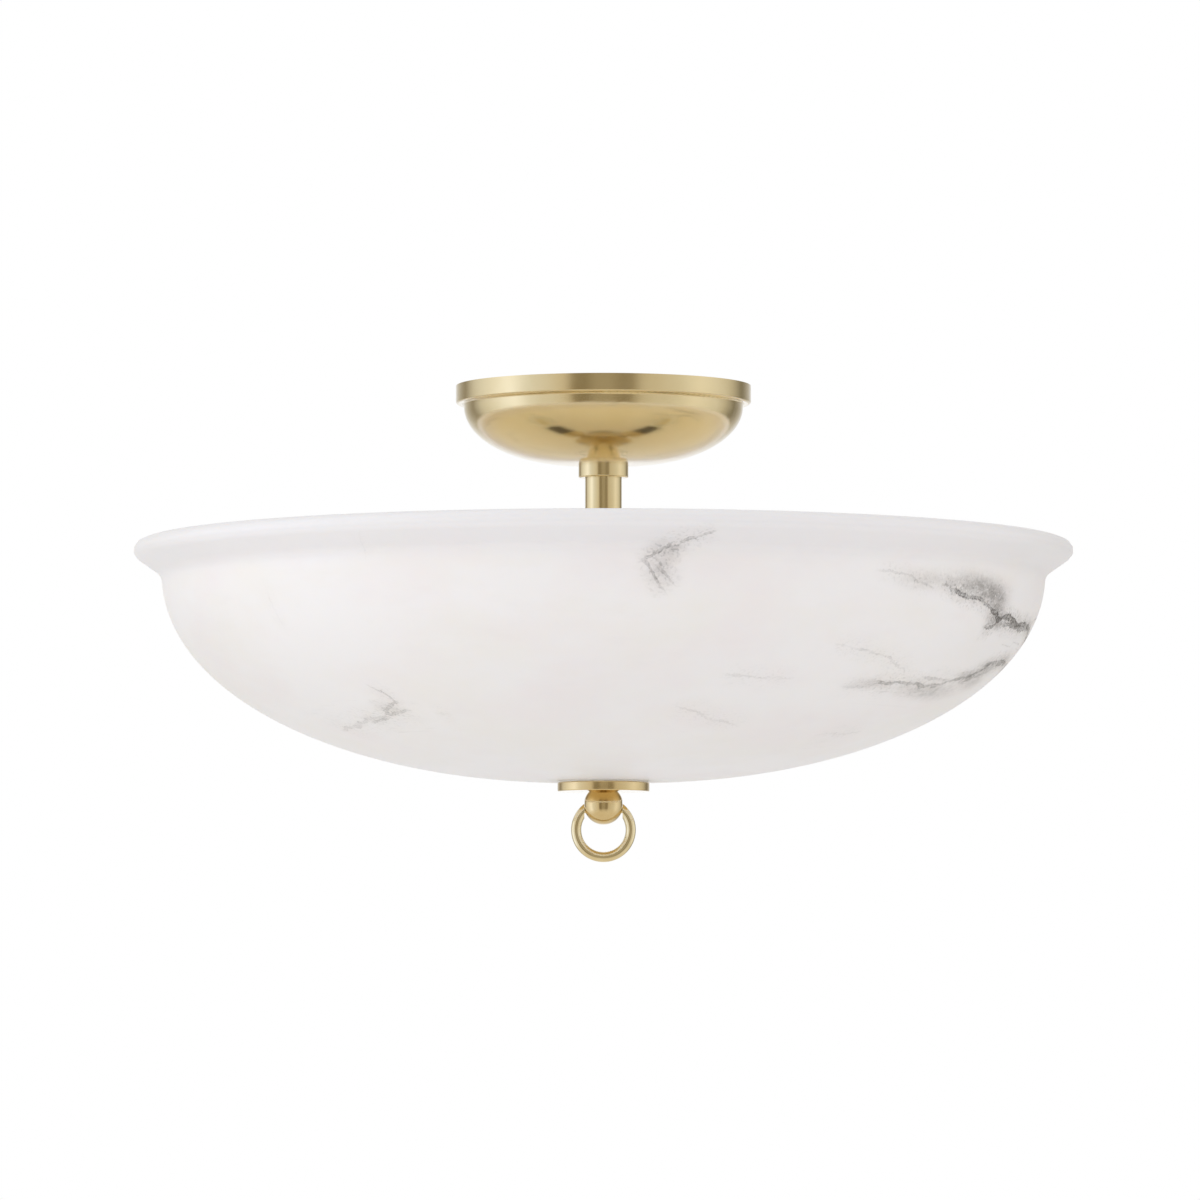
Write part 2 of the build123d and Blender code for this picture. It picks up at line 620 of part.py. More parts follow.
for arm in range(ARM_COUNT):
    for piece_name, piece_outline in turned_pieces.items():
        turned_piece = turned_on_arm(arm, piece_outline)
        turned_piece.part.label = f"{piece_name}_{arm + 1}"
        export_step(turned_piece.part, f"parts/{piece_name}_{arm + 1}.step")

    # Candle bulb: a thin glass envelope, open at the neck that sits in the base
    with BuildPart() as bulb_glass:
        with BuildSketch(arm_section(arm)):
            with BuildLine():
                bulb_side(0)
                bulb_side(BULB_WALL)
                Line((NECK_START, BULB_NECK_D / 2), (NECK_START, BULB_NECK_D / 2 - BULB_WALL))
                Line((BULB_END, 0), (BULB_END - BULB_WALL, 0))
            make_face()
        revolve(axis=arm_axis(arm))
    bulb_glass.part.label = f"bulb_glass_{arm + 1}"
    export_step(bulb_glass.part, f"parts/bulb_glass_{arm + 1}.step")

    # Light filaments: straight sticks between the two carriers of the mount
    with BuildPart() as filaments:
        with BuildSketch(arm_cross(arm, FILAMENT_FROM)):
            with PolarLocations(FILAMENT_CIRCLE_D / 2, FILAMENT_COUNT):
                Circle(FILAMENT_D / 2)
        extrude(amount=FILAMENT_LENGTH)
    filaments.part.label = f"filaments_{arm + 1}"
    export_step(filaments.part, f"parts/filaments_{arm + 1}.step")

# Alabaster bowl: the section climbs from a flat seat round a full belly to a sloping lip of even thickness
lip_slope = radians(LIP_SLOPE)
wall_draft = radians(WALL_DRAFT)
neck_turn = radians(90 - WALL_DRAFT - LIP_SLOPE)
up_lip = Vector(cos(lip_slope), sin(lip_slope))
under_lip = Vector(sin(lip_slope), -cos(lip_slope))
up_wall = Vector(sin(wall_draft), cos(wall_draft))
out_of_wall = Vector(cos(wall_draft), -sin(wall_draft))
lip_tip = Vector(BOWL_D / 2 - BOWL_WALL / 2, BOWL_TOP_Z - BOWL_WALL / 2)
lip_under_end = lip_tip + under_lip * (BOWL_WALL / 2)
lip_upper_end = lip_tip - under_lip * (BOWL_WALL / 2)
neck_run = (lip_under_end.X - BOWL_D / 2 + LIP_OVERHANG) / cos(lip_slope)
neck_corner = lip_under_end - up_lip * neck_run
neck_tangent = NECK_FILLET * tan(neck_turn / 2)
wall_end = neck_corner - up_wall * neck_tangent
lip_start = neck_corner + up_lip * neck_tangent
inner_wall_end = wall_end - out_of_wall * BOWL_WALL
inner_lip_start = lip_start - under_lip * BOWL_WALL
seat_edge = Vector(SEAT_D / 2, SEAT_Z)
floor_edge = Vector(SEAT_D / 2, BOWL_FLOOR_Z)
inner_share = (inner_wall_end - floor_edge).length / (wall_end - seat_edge).length
hole_r = BOWL_HOLE_D / 2
with BuildPart() as alabaster_bowl:
    with BuildSketch(Plane.XZ):
        with BuildLine():
            Bezier(
                seat_edge,
                seat_edge + Vector(BELLY_FLOOR_PULL, 0),
                wall_end - up_wall * BELLY_WALL_PULL,
                wall_end,
            )
            TangentArc(wall_end, lip_start, tangent=up_wall)
            Line(lip_start, lip_under_end)
            TangentArc(lip_under_end, lip_upper_end, tangent=up_lip)
            Line(lip_upper_end, inner_lip_start)
            TangentArc(inner_lip_start, inner_wall_end, tangent=-up_lip)
            Bezier(
                inner_wall_end,
                inner_wall_end - up_wall * (BELLY_WALL_PULL * inner_share),
                floor_edge + Vector(BELLY_FLOOR_PULL * inner_share, 0),
                floor_edge,
            )
            Polyline(floor_edge, (hole_r, BOWL_FLOOR_Z), (hole_r, SEAT_Z), seat_edge)
        make_face()
    revolve(axis=Axis.Z)
alabaster_bowl.part.label = "alabaster_bowl"
export_step(alabaster_bowl.part, "parts/alabaster_bowl.step")

# Bushing that keeps the rod off the stone, and the gasket between the stone and the finial's disc
with BuildPart() as bowl_bushing:
    with BuildSketch(Plane.XY.offset(BOWL_FLOOR_Z)):
        Circle(BOWL_BUSHING_FLANGE_D / 2)
        Circle(ROD_D / 2 + LOOSE_GAP, mode=Mode.SUBTRACT)
    extrude(amount=BOWL_BUSHING_FLANGE)
    with BuildSketch(Plane.XY.offset(BOWL_FLOOR_Z)):
        Circle(BOWL_HOLE_D / 2 - RUNNING_GAP)
        Circle(ROD_D / 2 + LOOSE_GAP, mode=Mode.SUBTRACT)
    extrude(amount=BOWL_BUSHING_SHORT - BOWL_WALL)
bowl_bushing.part.label = "bowl_bushing"
export_step(bowl_bushing.part, "parts/bowl_bushing.step")

seat_gasket = round_tube(SEAT_Z, DISC_TOP_Z, GASKET_D, BOWL_HOLE_D)
seat_gasket.part.label = "seat_gasket"
export_step(seat_gasket.part, "parts/seat_gasket.step")

# Tie rod from the hub down through the bowl into the finial, with its nuts and check washer
tie_rod_length = ROD_TOP_Z - ROD_BOTTOM_Z
with BuildPart() as tie_rod:
    with BuildSketch(Plane.XY.offset(ROD_BOTTOM_Z)):
        Circle(ROD_D / 2)
    extrude(amount=tie_rod_length)
    chamfer(tie_rod.edges().group_by(Axis.Z)[0], length=LOOSE_GAP)
tie_rod.part.label = "tie_rod"
export_step(tie_rod.part, "parts/tie_rod.step")

rod_nut_levels = [CUP_FLOOR_Z, CUP_BOTTOM_Z - ROD_NUT_HEIGHT, CHECK_NUT_Z]
tie_rod_nuts = hex_nuts(rod_nut_levels, ROD_NUT_FLATS, ROD_NUT_HEIGHT, THREAD_BORE)
tie_rod_nuts.part.label = "tie_rod_nuts"
export_step(tie_rod_nuts.part, "parts/tie_rod_nuts.step")

check_washer = round_tube(CHECK_NUT_Z, CHECK_WASHER_Z, CHECK_WASHER_D, ROD_HOLE_D)
check_washer.part.label = "check_washer"
export_step(check_washer.part, "parts/check_washer.step")

# Finial disc, threaded on the rod under the bowl
with BuildPart() as finial_disc:
    with BuildSketch(Plane.XY.offset(DISC_BOTTOM_Z)):
        Circle(DISC_D / 2)
        Circle(THREAD_BORE / 2, mode=Mode.SUBTRACT)
    extrude(amount=DISC_HEIGHT)
    rim_edges = finial_disc.edges().filter_by(GeomType.CIRCLE).group_by(SortBy.RADIUS)[-1]
    fillet(rim_edges, radius=DISC_EDGE)
finial_disc.part.label = "finial_disc"
export_step(finial_disc.part, "parts/finial_disc.step")

# Finial ball: blind thread from above, a cross bore for the ring's pins and a flat at each end of the bore
ball_flat_x = BALL_D / 2 - BALL_FLAT_INSET
ring_r = (RING_D - RING_BAR_D) / 2
ring_z = BALL_Z - RING_DROP
ring_end_x = ball_flat_x + RUNNING_GAP
ring_pivot_z = ring_z + sqrt(ring_r**2 - ring_end_x**2)
ring_gap = degrees(asin(ring_end_x / ring_r))
with BuildPart() as finial_ball:
    with Locations((0, 0, BALL_Z)):
        Sphere(BALL_D / 2)
    split(bisect_by=Plane.XY.offset(DISC_BOTTOM_Z), keep=Keep.BOTTOM)
    split(bisect_by=Plane.YZ.offset(ball_flat_x), keep=Keep.BOTTOM)
    split(bisect_by=Plane.YZ.offset(-ball_flat_x), keep=Keep.TOP)
    with BuildSketch(Plane.XY.offset(DISC_BOTTOM_Z)):
        Circle(THREAD_BORE / 2)
    extrude(amount=-BALL_THREAD_DEPTH, mode=Mode.SUBTRACT)
    with BuildSketch(Plane.YZ):
        with Locations((0, ring_pivot_z)):
            Circle(RING_PIN_D / 2 + FIT_GAP)
    extrude(amount=BALL_D, both=True, mode=Mode.SUBTRACT)
finial_ball.part.label = "finial_ball"
export_step(finial_ball.part, "parts/finial_ball.step")

# Drop ring: a bent round bar whose ends stop at the ball's flats and go on as two pins in the cross bore
with BuildPart() as drop_ring:
    with BuildLine(Plane.XZ) as ring_path:
        CenterArc((0, ring_z), ring_r, 90 + ring_gap / 2, 360 - ring_gap)
    with BuildSketch(Plane(origin=ring_path.line @ 0, z_dir=ring_path.line % 0)):
        Circle(RING_BAR_D / 2)
    sweep(path=ring_path.line)
    with Locations((0, 0, ring_z)):
        Box(2 * ring_end_x, RING_D, RING_D, align=(Align.CENTER, Align.CENTER, Align.MIN), mode=Mode.SUBTRACT)
    for side in (-1, 1):
        with BuildSketch(Plane.YZ.offset(side * ring_end_x)):
            with Locations((0, ring_pivot_z)):
                Circle(RING_PIN_D / 2)
        extrude(amount=-side * RING_PIN_LENGTH)
drop_ring.part.label = "drop_ring"
export_step(drop_ring.part, "parts/drop_ring.step")
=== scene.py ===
# %% [markdown]
# # A semi-flush ceiling light with an alabaster bowl
# The light hangs from the ceiling on a short brass stem. A domed brass canopy hides the ceiling box,
# a turned stone bowl hides three candle bulbs, and a brass disc, ball and drop ring hold the bowl up.
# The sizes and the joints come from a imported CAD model. This lesson gives it its stone, metal and glass.

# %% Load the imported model
import math

import bpy
import numpy as np
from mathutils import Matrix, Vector


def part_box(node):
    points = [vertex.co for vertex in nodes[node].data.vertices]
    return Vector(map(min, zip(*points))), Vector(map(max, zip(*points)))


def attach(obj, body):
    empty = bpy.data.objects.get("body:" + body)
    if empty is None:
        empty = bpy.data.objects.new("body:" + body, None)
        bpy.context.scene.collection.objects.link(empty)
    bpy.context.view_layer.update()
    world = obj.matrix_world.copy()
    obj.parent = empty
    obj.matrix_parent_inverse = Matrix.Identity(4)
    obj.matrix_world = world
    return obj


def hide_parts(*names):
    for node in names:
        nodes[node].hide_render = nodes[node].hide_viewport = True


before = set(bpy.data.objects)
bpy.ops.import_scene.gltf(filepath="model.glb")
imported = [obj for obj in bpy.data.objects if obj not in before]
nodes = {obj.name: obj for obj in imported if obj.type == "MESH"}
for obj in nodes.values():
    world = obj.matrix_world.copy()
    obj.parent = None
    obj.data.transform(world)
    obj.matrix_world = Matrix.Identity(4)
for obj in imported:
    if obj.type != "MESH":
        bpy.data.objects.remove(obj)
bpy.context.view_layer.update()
MM = 0.001

# %% [markdown]
# ## The camera
# The light was seen from below and from far away with a long lens, so its lines hardly converge. The
# canopy's rim and the bowl's lip show as thin ellipses, and their heights give the camera's height and
# tilt. A camera with these values is simpler than one that is aimed at a target by a constraint.

# %% Place the camera
CAMERA_PLACE = (-0.0015, -3.6445, -0.3283)
CAMERA_TILT_UP = 0.0645
LENS_MM = 253.0
SIGHT_LIMIT = 50.0

scene = bpy.context.scene
camera_data = bpy.data.cameras.new("camera")
camera_data.lens = LENS_MM
camera_data.clip_end = SIGHT_LIMIT
camera = bpy.data.objects.new("camera", camera_data)
camera.location = CAMERA_PLACE
camera.rotation_euler = (math.pi / 2 + CAMERA_TILT_UP, 0, 0)
scene.collection.objects.link(camera)
scene.camera = camera
scene.view_settings.view_transform = "Standard"
print("camera distance:", round(Vector(CAMERA_PLACE).length, 3), "m")

# %% [markdown]
# ## The studio
# A studio that shoots brass works with white walls and a few dark flags. The walls make the metal bright,
# and the flags draw the dark stripes without which brass looks like plastic. Panels could be built as
# meshes, but they would stand in the way of the other views, so the world itself holds them: the
# backdrop is white for the camera, and metal also sees the soft flags in it.

# %% Colours of the studio
ROOM_LEFT = (1.09, 1.10, 1.11)
ROOM_RIGHT = (0.90, 0.885, 0.875)
FLAG_STOPS = [
    (-180, (1.00, 1.00, 1.00)),
    (-158, (0.60, 0.57, 0.50)),
    (-137, (0.28, 0.25, 0.19)),
    (-122, (0.72, 0.72, 0.70)),
    (-105, (0.92, 0.95, 1.00)),
    (-78, (1.22, 1.30, 1.52)),
    (-62, (0.88, 0.92, 1.00)),
    (-30, (0.74, 0.70, 0.63)),
    (-23, (0.29, 0.25, 0.18)),
    (-13, (0.28, 0.24, 0.17)),
    (-8, (0.42, 0.38, 0.30)),
    (8, (0.42, 0.38, 0.30)),
    (13, (0.31, 0.27, 0.20)),
    (23, (0.31, 0.27, 0.20)),
    (30, (0.66, 0.62, 0.54)),
    (62, (0.78, 0.77, 0.74)),
    (82, (0.98, 0.98, 0.98)),
    (110, (0.76, 0.75, 0.71)),
    (122, (0.58, 0.56, 0.49)),
    (137, (0.20, 0.18, 0.13)),
    (158, (0.55, 0.52, 0.46)),
    (180, (1.00, 1.00, 1.00)),
]
print("flag stops:", len(FLAG_STOPS))

# %% [markdown]
# ## Helpers for nodes
# A world or a material is a tree of nodes, and most of its wiring repeats: add a node, feed a socket, do
# a sum, read a ramp, mix two colours or two shaders. Each of these could be done by hand in the node
# editor. As helpers they keep the later cells short. A socket knows the tree it belongs to, so most
# helpers need only the sockets.


# %% Add, feed, calculate and mix
def add(beside, kind, **settings):
    """A new node, with its properties set, in a tree or beside a socket of that tree."""
    node = beside.id_data.nodes.new(kind)
    for name, value in settings.items():
        setattr(node, name, value)
    return node


def feed(socket, value):
    """Wire an output into a socket, or write a plain value on it."""
    if isinstance(value, bpy.types.NodeSocket):
        socket.id_data.links.new(value, socket)
    else:
        socket.default_value = value


def calc(operation, first, second=0.0, clamp=False):
    """The result of one Math node."""
    node = add(first, "ShaderNodeMath", operation=operation, use_clamp=clamp)
    feed(node.inputs[0], first)
    feed(node.inputs[1], second)
    return node.outputs[0]


def ramp(value, stops):
    """A Color Ramp over (place, grey or colour) stops."""
    node = add(value, "ShaderNodeValToRGB")
    points = node.color_ramp.elements
    while len(points) < len(stops):
        points.new(1.0)
    for point, (place, colour) in zip(points, stops):
        point.position = place
        point.color = (*colour, 1) if isinstance(colour, tuple) else (colour, colour, colour, 1)
    feed(node.inputs["Fac"], value)
    return node.outputs["Color"]


def blend_colours(share, first, second):
    """Two colours mixed by a share."""
    node = add(share, "ShaderNodeMix", data_type="RGBA")
    feed(node.inputs[0], share)
    for socket, colour in ((node.inputs[6], first), (node.inputs[7], second)):
        feed(socket, (*colour, 1) if isinstance(colour, tuple) else colour)
    return node.outputs[2]


def mix_shaders(share, first, second):
    """Two shaders mixed by a share."""
    node = add(share, "ShaderNodeMixShader")
    for socket, value in zip(node.inputs, (share, first, second)):
        feed(socket, value)
    return node.outputs[0]


def split_place(place):
    """The X, Y and Z of a place or a direction."""
    node = add(place, "ShaderNodeSeparateXYZ")
    feed(node.inputs[0], place)
    return node.outputs


print("node helpers ready")

# %% [markdown]
# ## Wiring the world
# The flags are a Color Ramp over the turn from the front. Light Path tells the rays apart: glossy rays see
# the flags, the camera and the glass see white, and all other rays see a room that is a little brighter
# and cooler on the left, which is what lights the stone.


# %% Build the white studio
def flag_shade(direction):
    """White with soft dark flags, by the turn from the front, from -180 over the left to 180 degrees."""
    parts = split_place(direction)
    turn = calc("ARCTAN2", parts["X"], calc("MULTIPLY", parts["Y"], -1.0))
    share = calc("ADD", calc("DIVIDE", turn, 2 * math.pi), 0.5)
    return ramp(share, [((degrees + 180) / 360, colour) for degrees, colour in FLAG_STOPS])


world = bpy.data.worlds.new("white_studio")
world.use_nodes = True
world.cycles.sampling_method = "NONE"
scene.world = world
studio = world.node_tree
studio.nodes.clear()
direction = add(studio, "ShaderNodeTexCoord").outputs["Generated"]
flags = flag_shade(direction)
sideways = split_place(direction)["X"]
to_right = calc("ADD", calc("MULTIPLY", sideways, 0.5), 0.5)
ray = add(studio, "ShaderNodeLightPath").outputs
seen = blend_colours(ray["Is Glossy Ray"], (1.0, 1.0, 1.0), flags)
shows_backdrop = ray["Is Camera Ray"]
for kind in ("Is Glossy Ray", "Is Transmission Ray"):
    shows_backdrop = calc("MAXIMUM", shows_backdrop, ray[kind])
backdrop = add(studio, "ShaderNodeBackground")
feed(backdrop.inputs["Color"], seen)
room = add(studio, "ShaderNodeBackground")
feed(room.inputs["Color"], blend_colours(to_right, ROOM_LEFT, ROOM_RIGHT))
choice = mix_shaders(shows_backdrop, room.outputs[0], backdrop.outputs[0])
feed(add(studio, "ShaderNodeOutputWorld").inputs["Surface"], choice)
print("studio nodes:", len(studio.nodes))

# %% [markdown]
# ## Floor and lamps
# The light hangs high above a plain pale floor, so that it can also be looked at from below. A large soft
# lamp from the left front models the bowl, a weaker one from the right keeps its far side open, and one
# from above fills the bowl. All of them are wide, because small lamps would put hard spots on the stone.
# The metal doesn't show the lamps: what it shows is the studio with its flags, and a lamp would only add to
# that and burn it out.

# %% Lay the floor
FLOOR_SIZE = 35.0
FLOOR_LEVEL = -4.2
FLOOR_CUTS = 3

bpy.ops.object.select_all(action="DESELECT")
bpy.ops.mesh.primitive_plane_add(size=FLOOR_SIZE, location=(0, 0, FLOOR_LEVEL))
floor = bpy.context.object
floor.name = "studio_floor"
bpy.ops.object.transform_apply(location=True, rotation=True, scale=True)
bpy.ops.object.mode_set(mode="EDIT")
bpy.ops.mesh.subdivide(number_cuts=FLOOR_CUTS)
bpy.ops.object.mode_set(mode="OBJECT")
print("floor level:", FLOOR_LEVEL, "m")

# %% Hang the lamps
LAMPS = {
    "left_softbox": {"place": (-2.8, -0.7, -0.1), "size": 1.5, "power": 9.0},
    "right_softbox": {"place": (2.8, -0.8, -0.1), "size": 1.3, "power": 1.5},
    "top_softbox": {"place": (0.2, 0.6, 2.2), "size": 1.8, "power": 3.0},
}
LAMP_AIM = Vector((0, 0, -0.11))

for lamp_name, lamp_facts in LAMPS.items():
    lamp_data = bpy.data.lights.new(lamp_name, "AREA")
    lamp_data.shape = "DISK"
    lamp_data.size = lamp_facts["size"]
    lamp_data.energy = lamp_facts["power"]
    lamp = bpy.data.objects.new(lamp_name, lamp_data)
    lamp.visible_glossy = False
    lamp.location = lamp_facts["place"]
    lamp.rotation_euler = (LAMP_AIM - lamp.location).to_track_quat("-Z", "Y").to_euler()
    scene.collection.objects.link(lamp)
print("lamps:", len(LAMPS))

# %% [markdown]
# ## Building blocks for finishes
# Each finish starts from a Principled shader and gets its detail from noise in Object coordinates, which
# stay with the piece and are measured in metres. A grain is easier to judge as a size than as a scale, so
# the helper below takes the size of one lump and works out the scale.


# %% Helpers for finishes
def new_finish(name, **plain):
    """A material, its node tree and its Principled shader, with plain values written on the sockets."""
    finish = bpy.data.materials.new(name)
    finish.use_nodes = True
    shader = finish.node_tree.nodes["Principled BSDF"]
    for socket, value in plain.items():
        shader.inputs[socket.replace("_", " ").title().replace("Ior", "IOR")].default_value = value
    return finish, finish.node_tree, shader


def object_place(tree):
    """The point on the piece, in metres."""
    return add(tree, "ShaderNodeTexCoord").outputs["Object"]


def lumps(place, size, detail=2.0, roughness=0.5):
    """Noise from 0 to 1 whose lumps are about this many metres wide."""
    node = add(place, "ShaderNodeTexNoise")
    feed(node.inputs["Vector"], place)
    node.inputs["Scale"].default_value = 1.0 / size
    node.inputs["Detail"].default_value = detail
    node.inputs["Roughness"].default_value = roughness
    return node.outputs["Fac"]


def raise_surface(shader, height, depth, share=1.0):
    """Bump: the height, from 0 to 1, stands for this many metres."""
    node = add(height, "ShaderNodeBump")
    node.inputs["Strength"].default_value = share
    node.inputs["Distance"].default_value = depth
    feed(node.inputs["Height"], height)
    feed(shader.inputs["Normal"], node.outputs["Normal"])


def between(value, low, high):
    """A 0 to 1 value stretched to a range."""
    node = add(value, "ShaderNodeMapRange")
    feed(node.inputs["Value"], value)
    node.inputs["To Min"].default_value = low
    node.inputs["To Max"].default_value = high
    return node.outputs["Result"]


print("finish helpers ready")

# %% [markdown]
# ## The floor's finish
# The floor is pale and slightly cloudy. Metal would show its far edge as a line, so glossy rays see a plain
# glow instead: warm close by, where the underside of the brass looks, and the flags of the studio further
# off. For the camera the floor fades to the white of the backdrop, so that no edge shows in a high view.

# %% Finish the floor
FLOOR_CLOUD = 0.6
FLOOR_TINTS = [(0.3, (0.84, 0.84, 0.84)), (0.7, (0.87, 0.87, 0.865))]
FLOOR_GLOW = (0.78, 0.73, 0.63)
GLOW_FADE = [(0.16, 1.0), (0.30, 0.0)]
WHITE_FADE = [(0.13, 0.0), (0.32, 1.0)]

floor_finish, tree, shader = new_finish("pale_floor", roughness=0.7)
place = object_place(tree)
feed(shader.inputs["Base Color"], ramp(lumps(place, FLOOR_CLOUD), FLOOR_TINTS))
reach = add(tree, "ShaderNodeVectorMath", operation="LENGTH")
feed(reach.inputs[0], place)
reach_share = calc("DIVIDE", reach.outputs["Value"], FLOOR_SIZE)
close_by = ramp(reach_share, GLOW_FADE)
far_off = ramp(reach_share, WHITE_FADE)
glow = add(tree, "ShaderNodeEmission")
feed(glow.inputs["Color"], blend_colours(close_by, flag_shade(place), FLOOR_GLOW))
white = add(tree, "ShaderNodeEmission")
white.inputs["Color"].default_value = (1, 1, 1, 1)
ray = add(tree, "ShaderNodeLightPath").outputs
fade_share = calc("MULTIPLY", far_off, ray["Is Camera Ray"])
faded = mix_shaders(fade_share, shader.outputs[0], white.outputs[0])
floor_mix = mix_shaders(ray["Is Glossy Ray"], faded, glow.outputs[0])
feed(tree.nodes["Material Output"].inputs["Surface"], floor_mix)
floor.data.materials.append(floor_finish)
print("floor finish:", floor_finish.name)

# %% [markdown]
# ## Turned brass
# The canopy is spun from sheet, the stem and the disc are turned, and all of them are rubbed with a fine
# pad on the lathe and lacquered. The pad leaves hair-fine rings around the axis. Rings depend only on
# height and on distance from the axis, so the noise is read at those two numbers. Anisotropy would also
# stretch the glow, and a little of it helps. The canopy is rubbed longer than the slim pieces, so its
# finish is a little softer. The hub inside the bowl is left dull.

# %% Brass turned around the upright axis
BRASS_LIGHT = (0.79, 0.65, 0.37)
BRASS_DEEP = (0.76, 0.61, 0.325)
HUB_LIGHT = (0.74, 0.60, 0.34)
HUB_DEEP = (0.66, 0.51, 0.27)
LATHE_LINE = 0.22 * MM
LATHE_DEPTH = 0.004 * MM
BRASS_HAZE = 14 * MM
LACQUER = {"coat_weight": 1.0, "coat_roughness": 0.10, "coat_ior": 1.55}


def turned_brass(name, light, deep, smooth, rough):
    """Lacquered brass with lathe rings around the Z axis."""
    finish, tree, shader = new_finish(name, metallic=1.0, anisotropic=0.2, **LACQUER)
    place = object_place(tree)
    parts = split_place(place)
    squares = [calc("MULTIPLY", parts[axis], parts[axis]) for axis in ("X", "Y")]
    ring_place = add(tree, "ShaderNodeCombineXYZ")
    feed(ring_place.inputs["X"], calc("SQRT", calc("ADD", *squares)))
    feed(ring_place.inputs["Y"], parts["Z"])
    rings = lumps(ring_place.outputs[0], LATHE_LINE, detail=1.0)
    haze = lumps(place, BRASS_HAZE, detail=3.0)
    tint = ramp(haze, [(0.25, deep), (0.65, light)])
    tint = blend_colours(between(rings, 0.0, 0.12), tint, deep)
    feed(shader.inputs["Base Color"], tint)
    gloss = between(calc("ADD", haze, rings), smooth - 0.06, rough)
    feed(shader.inputs["Roughness"], gloss)
    raise_surface(shader, rings, LATHE_DEPTH, 0.25)
    return finish


satin_brass = turned_brass("satin_brass", BRASS_LIGHT, BRASS_DEEP, 0.13, 0.17)
spun_brass = turned_brass("spun_brass", BRASS_LIGHT, BRASS_DEEP, 0.14, 0.19)
hub_brass = turned_brass("hub_brass", HUB_LIGHT, HUB_DEEP, 0.32, 0.44)
print("brass finishes:", satin_brass.name, spun_brass.name, hub_brass.name)

# %% [markdown]
# ## Polished brass
# The ball and the drop ring are held by hand against a cloth wheel, at all angles, so they have no rings.
# What is left are faint scratches in all directions and a gloss that changes a little from place to place.
# A fine noise for the scratches and a wider one for the gloss are enough. The ball and the disc are turned
# from one bar, a little deeper in colour than the sheet of the canopy. The ring is bent from paler wire.

# %% Brass for the finial
BALL_LIGHT = (0.77, 0.60, 0.31)
BALL_DEEP = (0.72, 0.54, 0.255)
RING_LIGHT = (0.86, 0.74, 0.47)
SCRATCH = 0.35 * MM
SCRATCH_DEPTH = 0.003 * MM
GLOSS_PATCH = 5 * MM
POLISH_ROUGHNESS = (0.05, 0.12)


def polished_brass(name, light, deep):
    """Lacquered brass with a high gloss and faint scratches in all directions."""
    finish, tree, shader = new_finish(name, metallic=1.0, **LACQUER)
    place = object_place(tree)
    patches = lumps(place, GLOSS_PATCH, detail=3.0)
    scratches = lumps(place, SCRATCH, detail=3.0, roughness=0.7)
    feed(shader.inputs["Base Color"], ramp(patches, [(0.3, deep), (0.65, light)]))
    gloss = between(calc("ADD", patches, scratches), *POLISH_ROUGHNESS)
    feed(shader.inputs["Roughness"], gloss)
    raise_surface(shader, scratches, SCRATCH_DEPTH, 0.2)
    return finish


ball_brass = polished_brass("ball_brass", BALL_LIGHT, BALL_DEEP)
ring_brass = polished_brass("ring_brass", RING_LIGHT, BRASS_LIGHT)
disc_brass = turned_brass("disc_brass", BALL_LIGHT, BALL_DEEP, 0.12, 0.16)
print("finial finishes:", ball_brass.name, ring_brass.name, disc_brass.name)

# %% [markdown]
# ## Plain fittings
# Most pieces inside the canopy and the bowl are bought parts: moulded insulators, covered wire, stamped
# brass, nickel, nylon and rubber. They share one recipe, because all of them are a base colour with a slow
# change of tint, a fine grain and a slightly uneven gloss. What differs is the colour, the size of the
# grain and the gloss.

# %% One recipe for the fittings
TINT_DRIFT = 12 * MM
SLIGHT_RELIEF = {"relief": 0.01 * MM}
# Light and deep colour, grain in millimetres, lowest and highest roughness, and what else differs.
FITTINGS = {
    "ground_green": ((0.07, 0.33, 0.14), (0.03, 0.20, 0.08), 0.8, 0.25, 0.45, {"metallic": 0.6}),
    "black_insulator": ((0.035, 0.030, 0.027), (0.018, 0.015, 0.014), 0.5, 0.30, 0.55, SLIGHT_RELIEF),
    "contact_brass": ((0.78, 0.62, 0.32), (0.62, 0.46, 0.20), 0.6, 0.25, 0.45, {"metallic": 1.0}),
    "bulb_nickel": ((0.72, 0.70, 0.66), (0.58, 0.55, 0.51), 0.5, 0.18, 0.38, {"metallic": 1.0}),
    "filament_phosphor": ((0.90, 0.72, 0.20), (0.80, 0.55, 0.10), 0.3, 0.45, 0.65, {"relief": 0.02 * MM}),
    "block_cream": ((0.78, 0.73, 0.62), (0.68, 0.62, 0.50), 0.7, 0.35, 0.55, SLIGHT_RELIEF),
    "lead_black": ((0.04, 0.04, 0.042), (0.02, 0.02, 0.022), 0.4, 0.35, 0.50, SLIGHT_RELIEF),
    "lead_white": ((0.80, 0.79, 0.76), (0.70, 0.68, 0.64), 0.4, 0.35, 0.50, SLIGHT_RELIEF),
    "clear_nylon": ((0.82, 0.80, 0.74), (0.72, 0.70, 0.63), 0.9, 0.30, 0.50, {"subsurface_weight": 0.3}),
    "gasket_rubber": ((0.80, 0.78, 0.74), (0.71, 0.69, 0.65), 0.4, 0.55, 0.75, SLIGHT_RELIEF),
}


def fitting_finish(name, light, deep, grain, smooth, rough, relief=0.0, **plain):
    """A colour that drifts between light and deep, with a grain of the given size."""
    finish, tree, shader = new_finish(name, **plain)
    place = object_place(tree)
    drift = lumps(place, TINT_DRIFT, detail=3.0)
    speckle = lumps(place, grain, detail=4.0, roughness=0.65)
    mixed = calc("MULTIPLY", calc("ADD", drift, speckle), 0.5)
    feed(shader.inputs["Base Color"], ramp(mixed, [(0.36, deep), (0.64, light)]))
    feed(shader.inputs["Roughness"], between(speckle, smooth, rough))
    if relief:
        raise_surface(shader, speckle, relief, 0.4)
    return finish


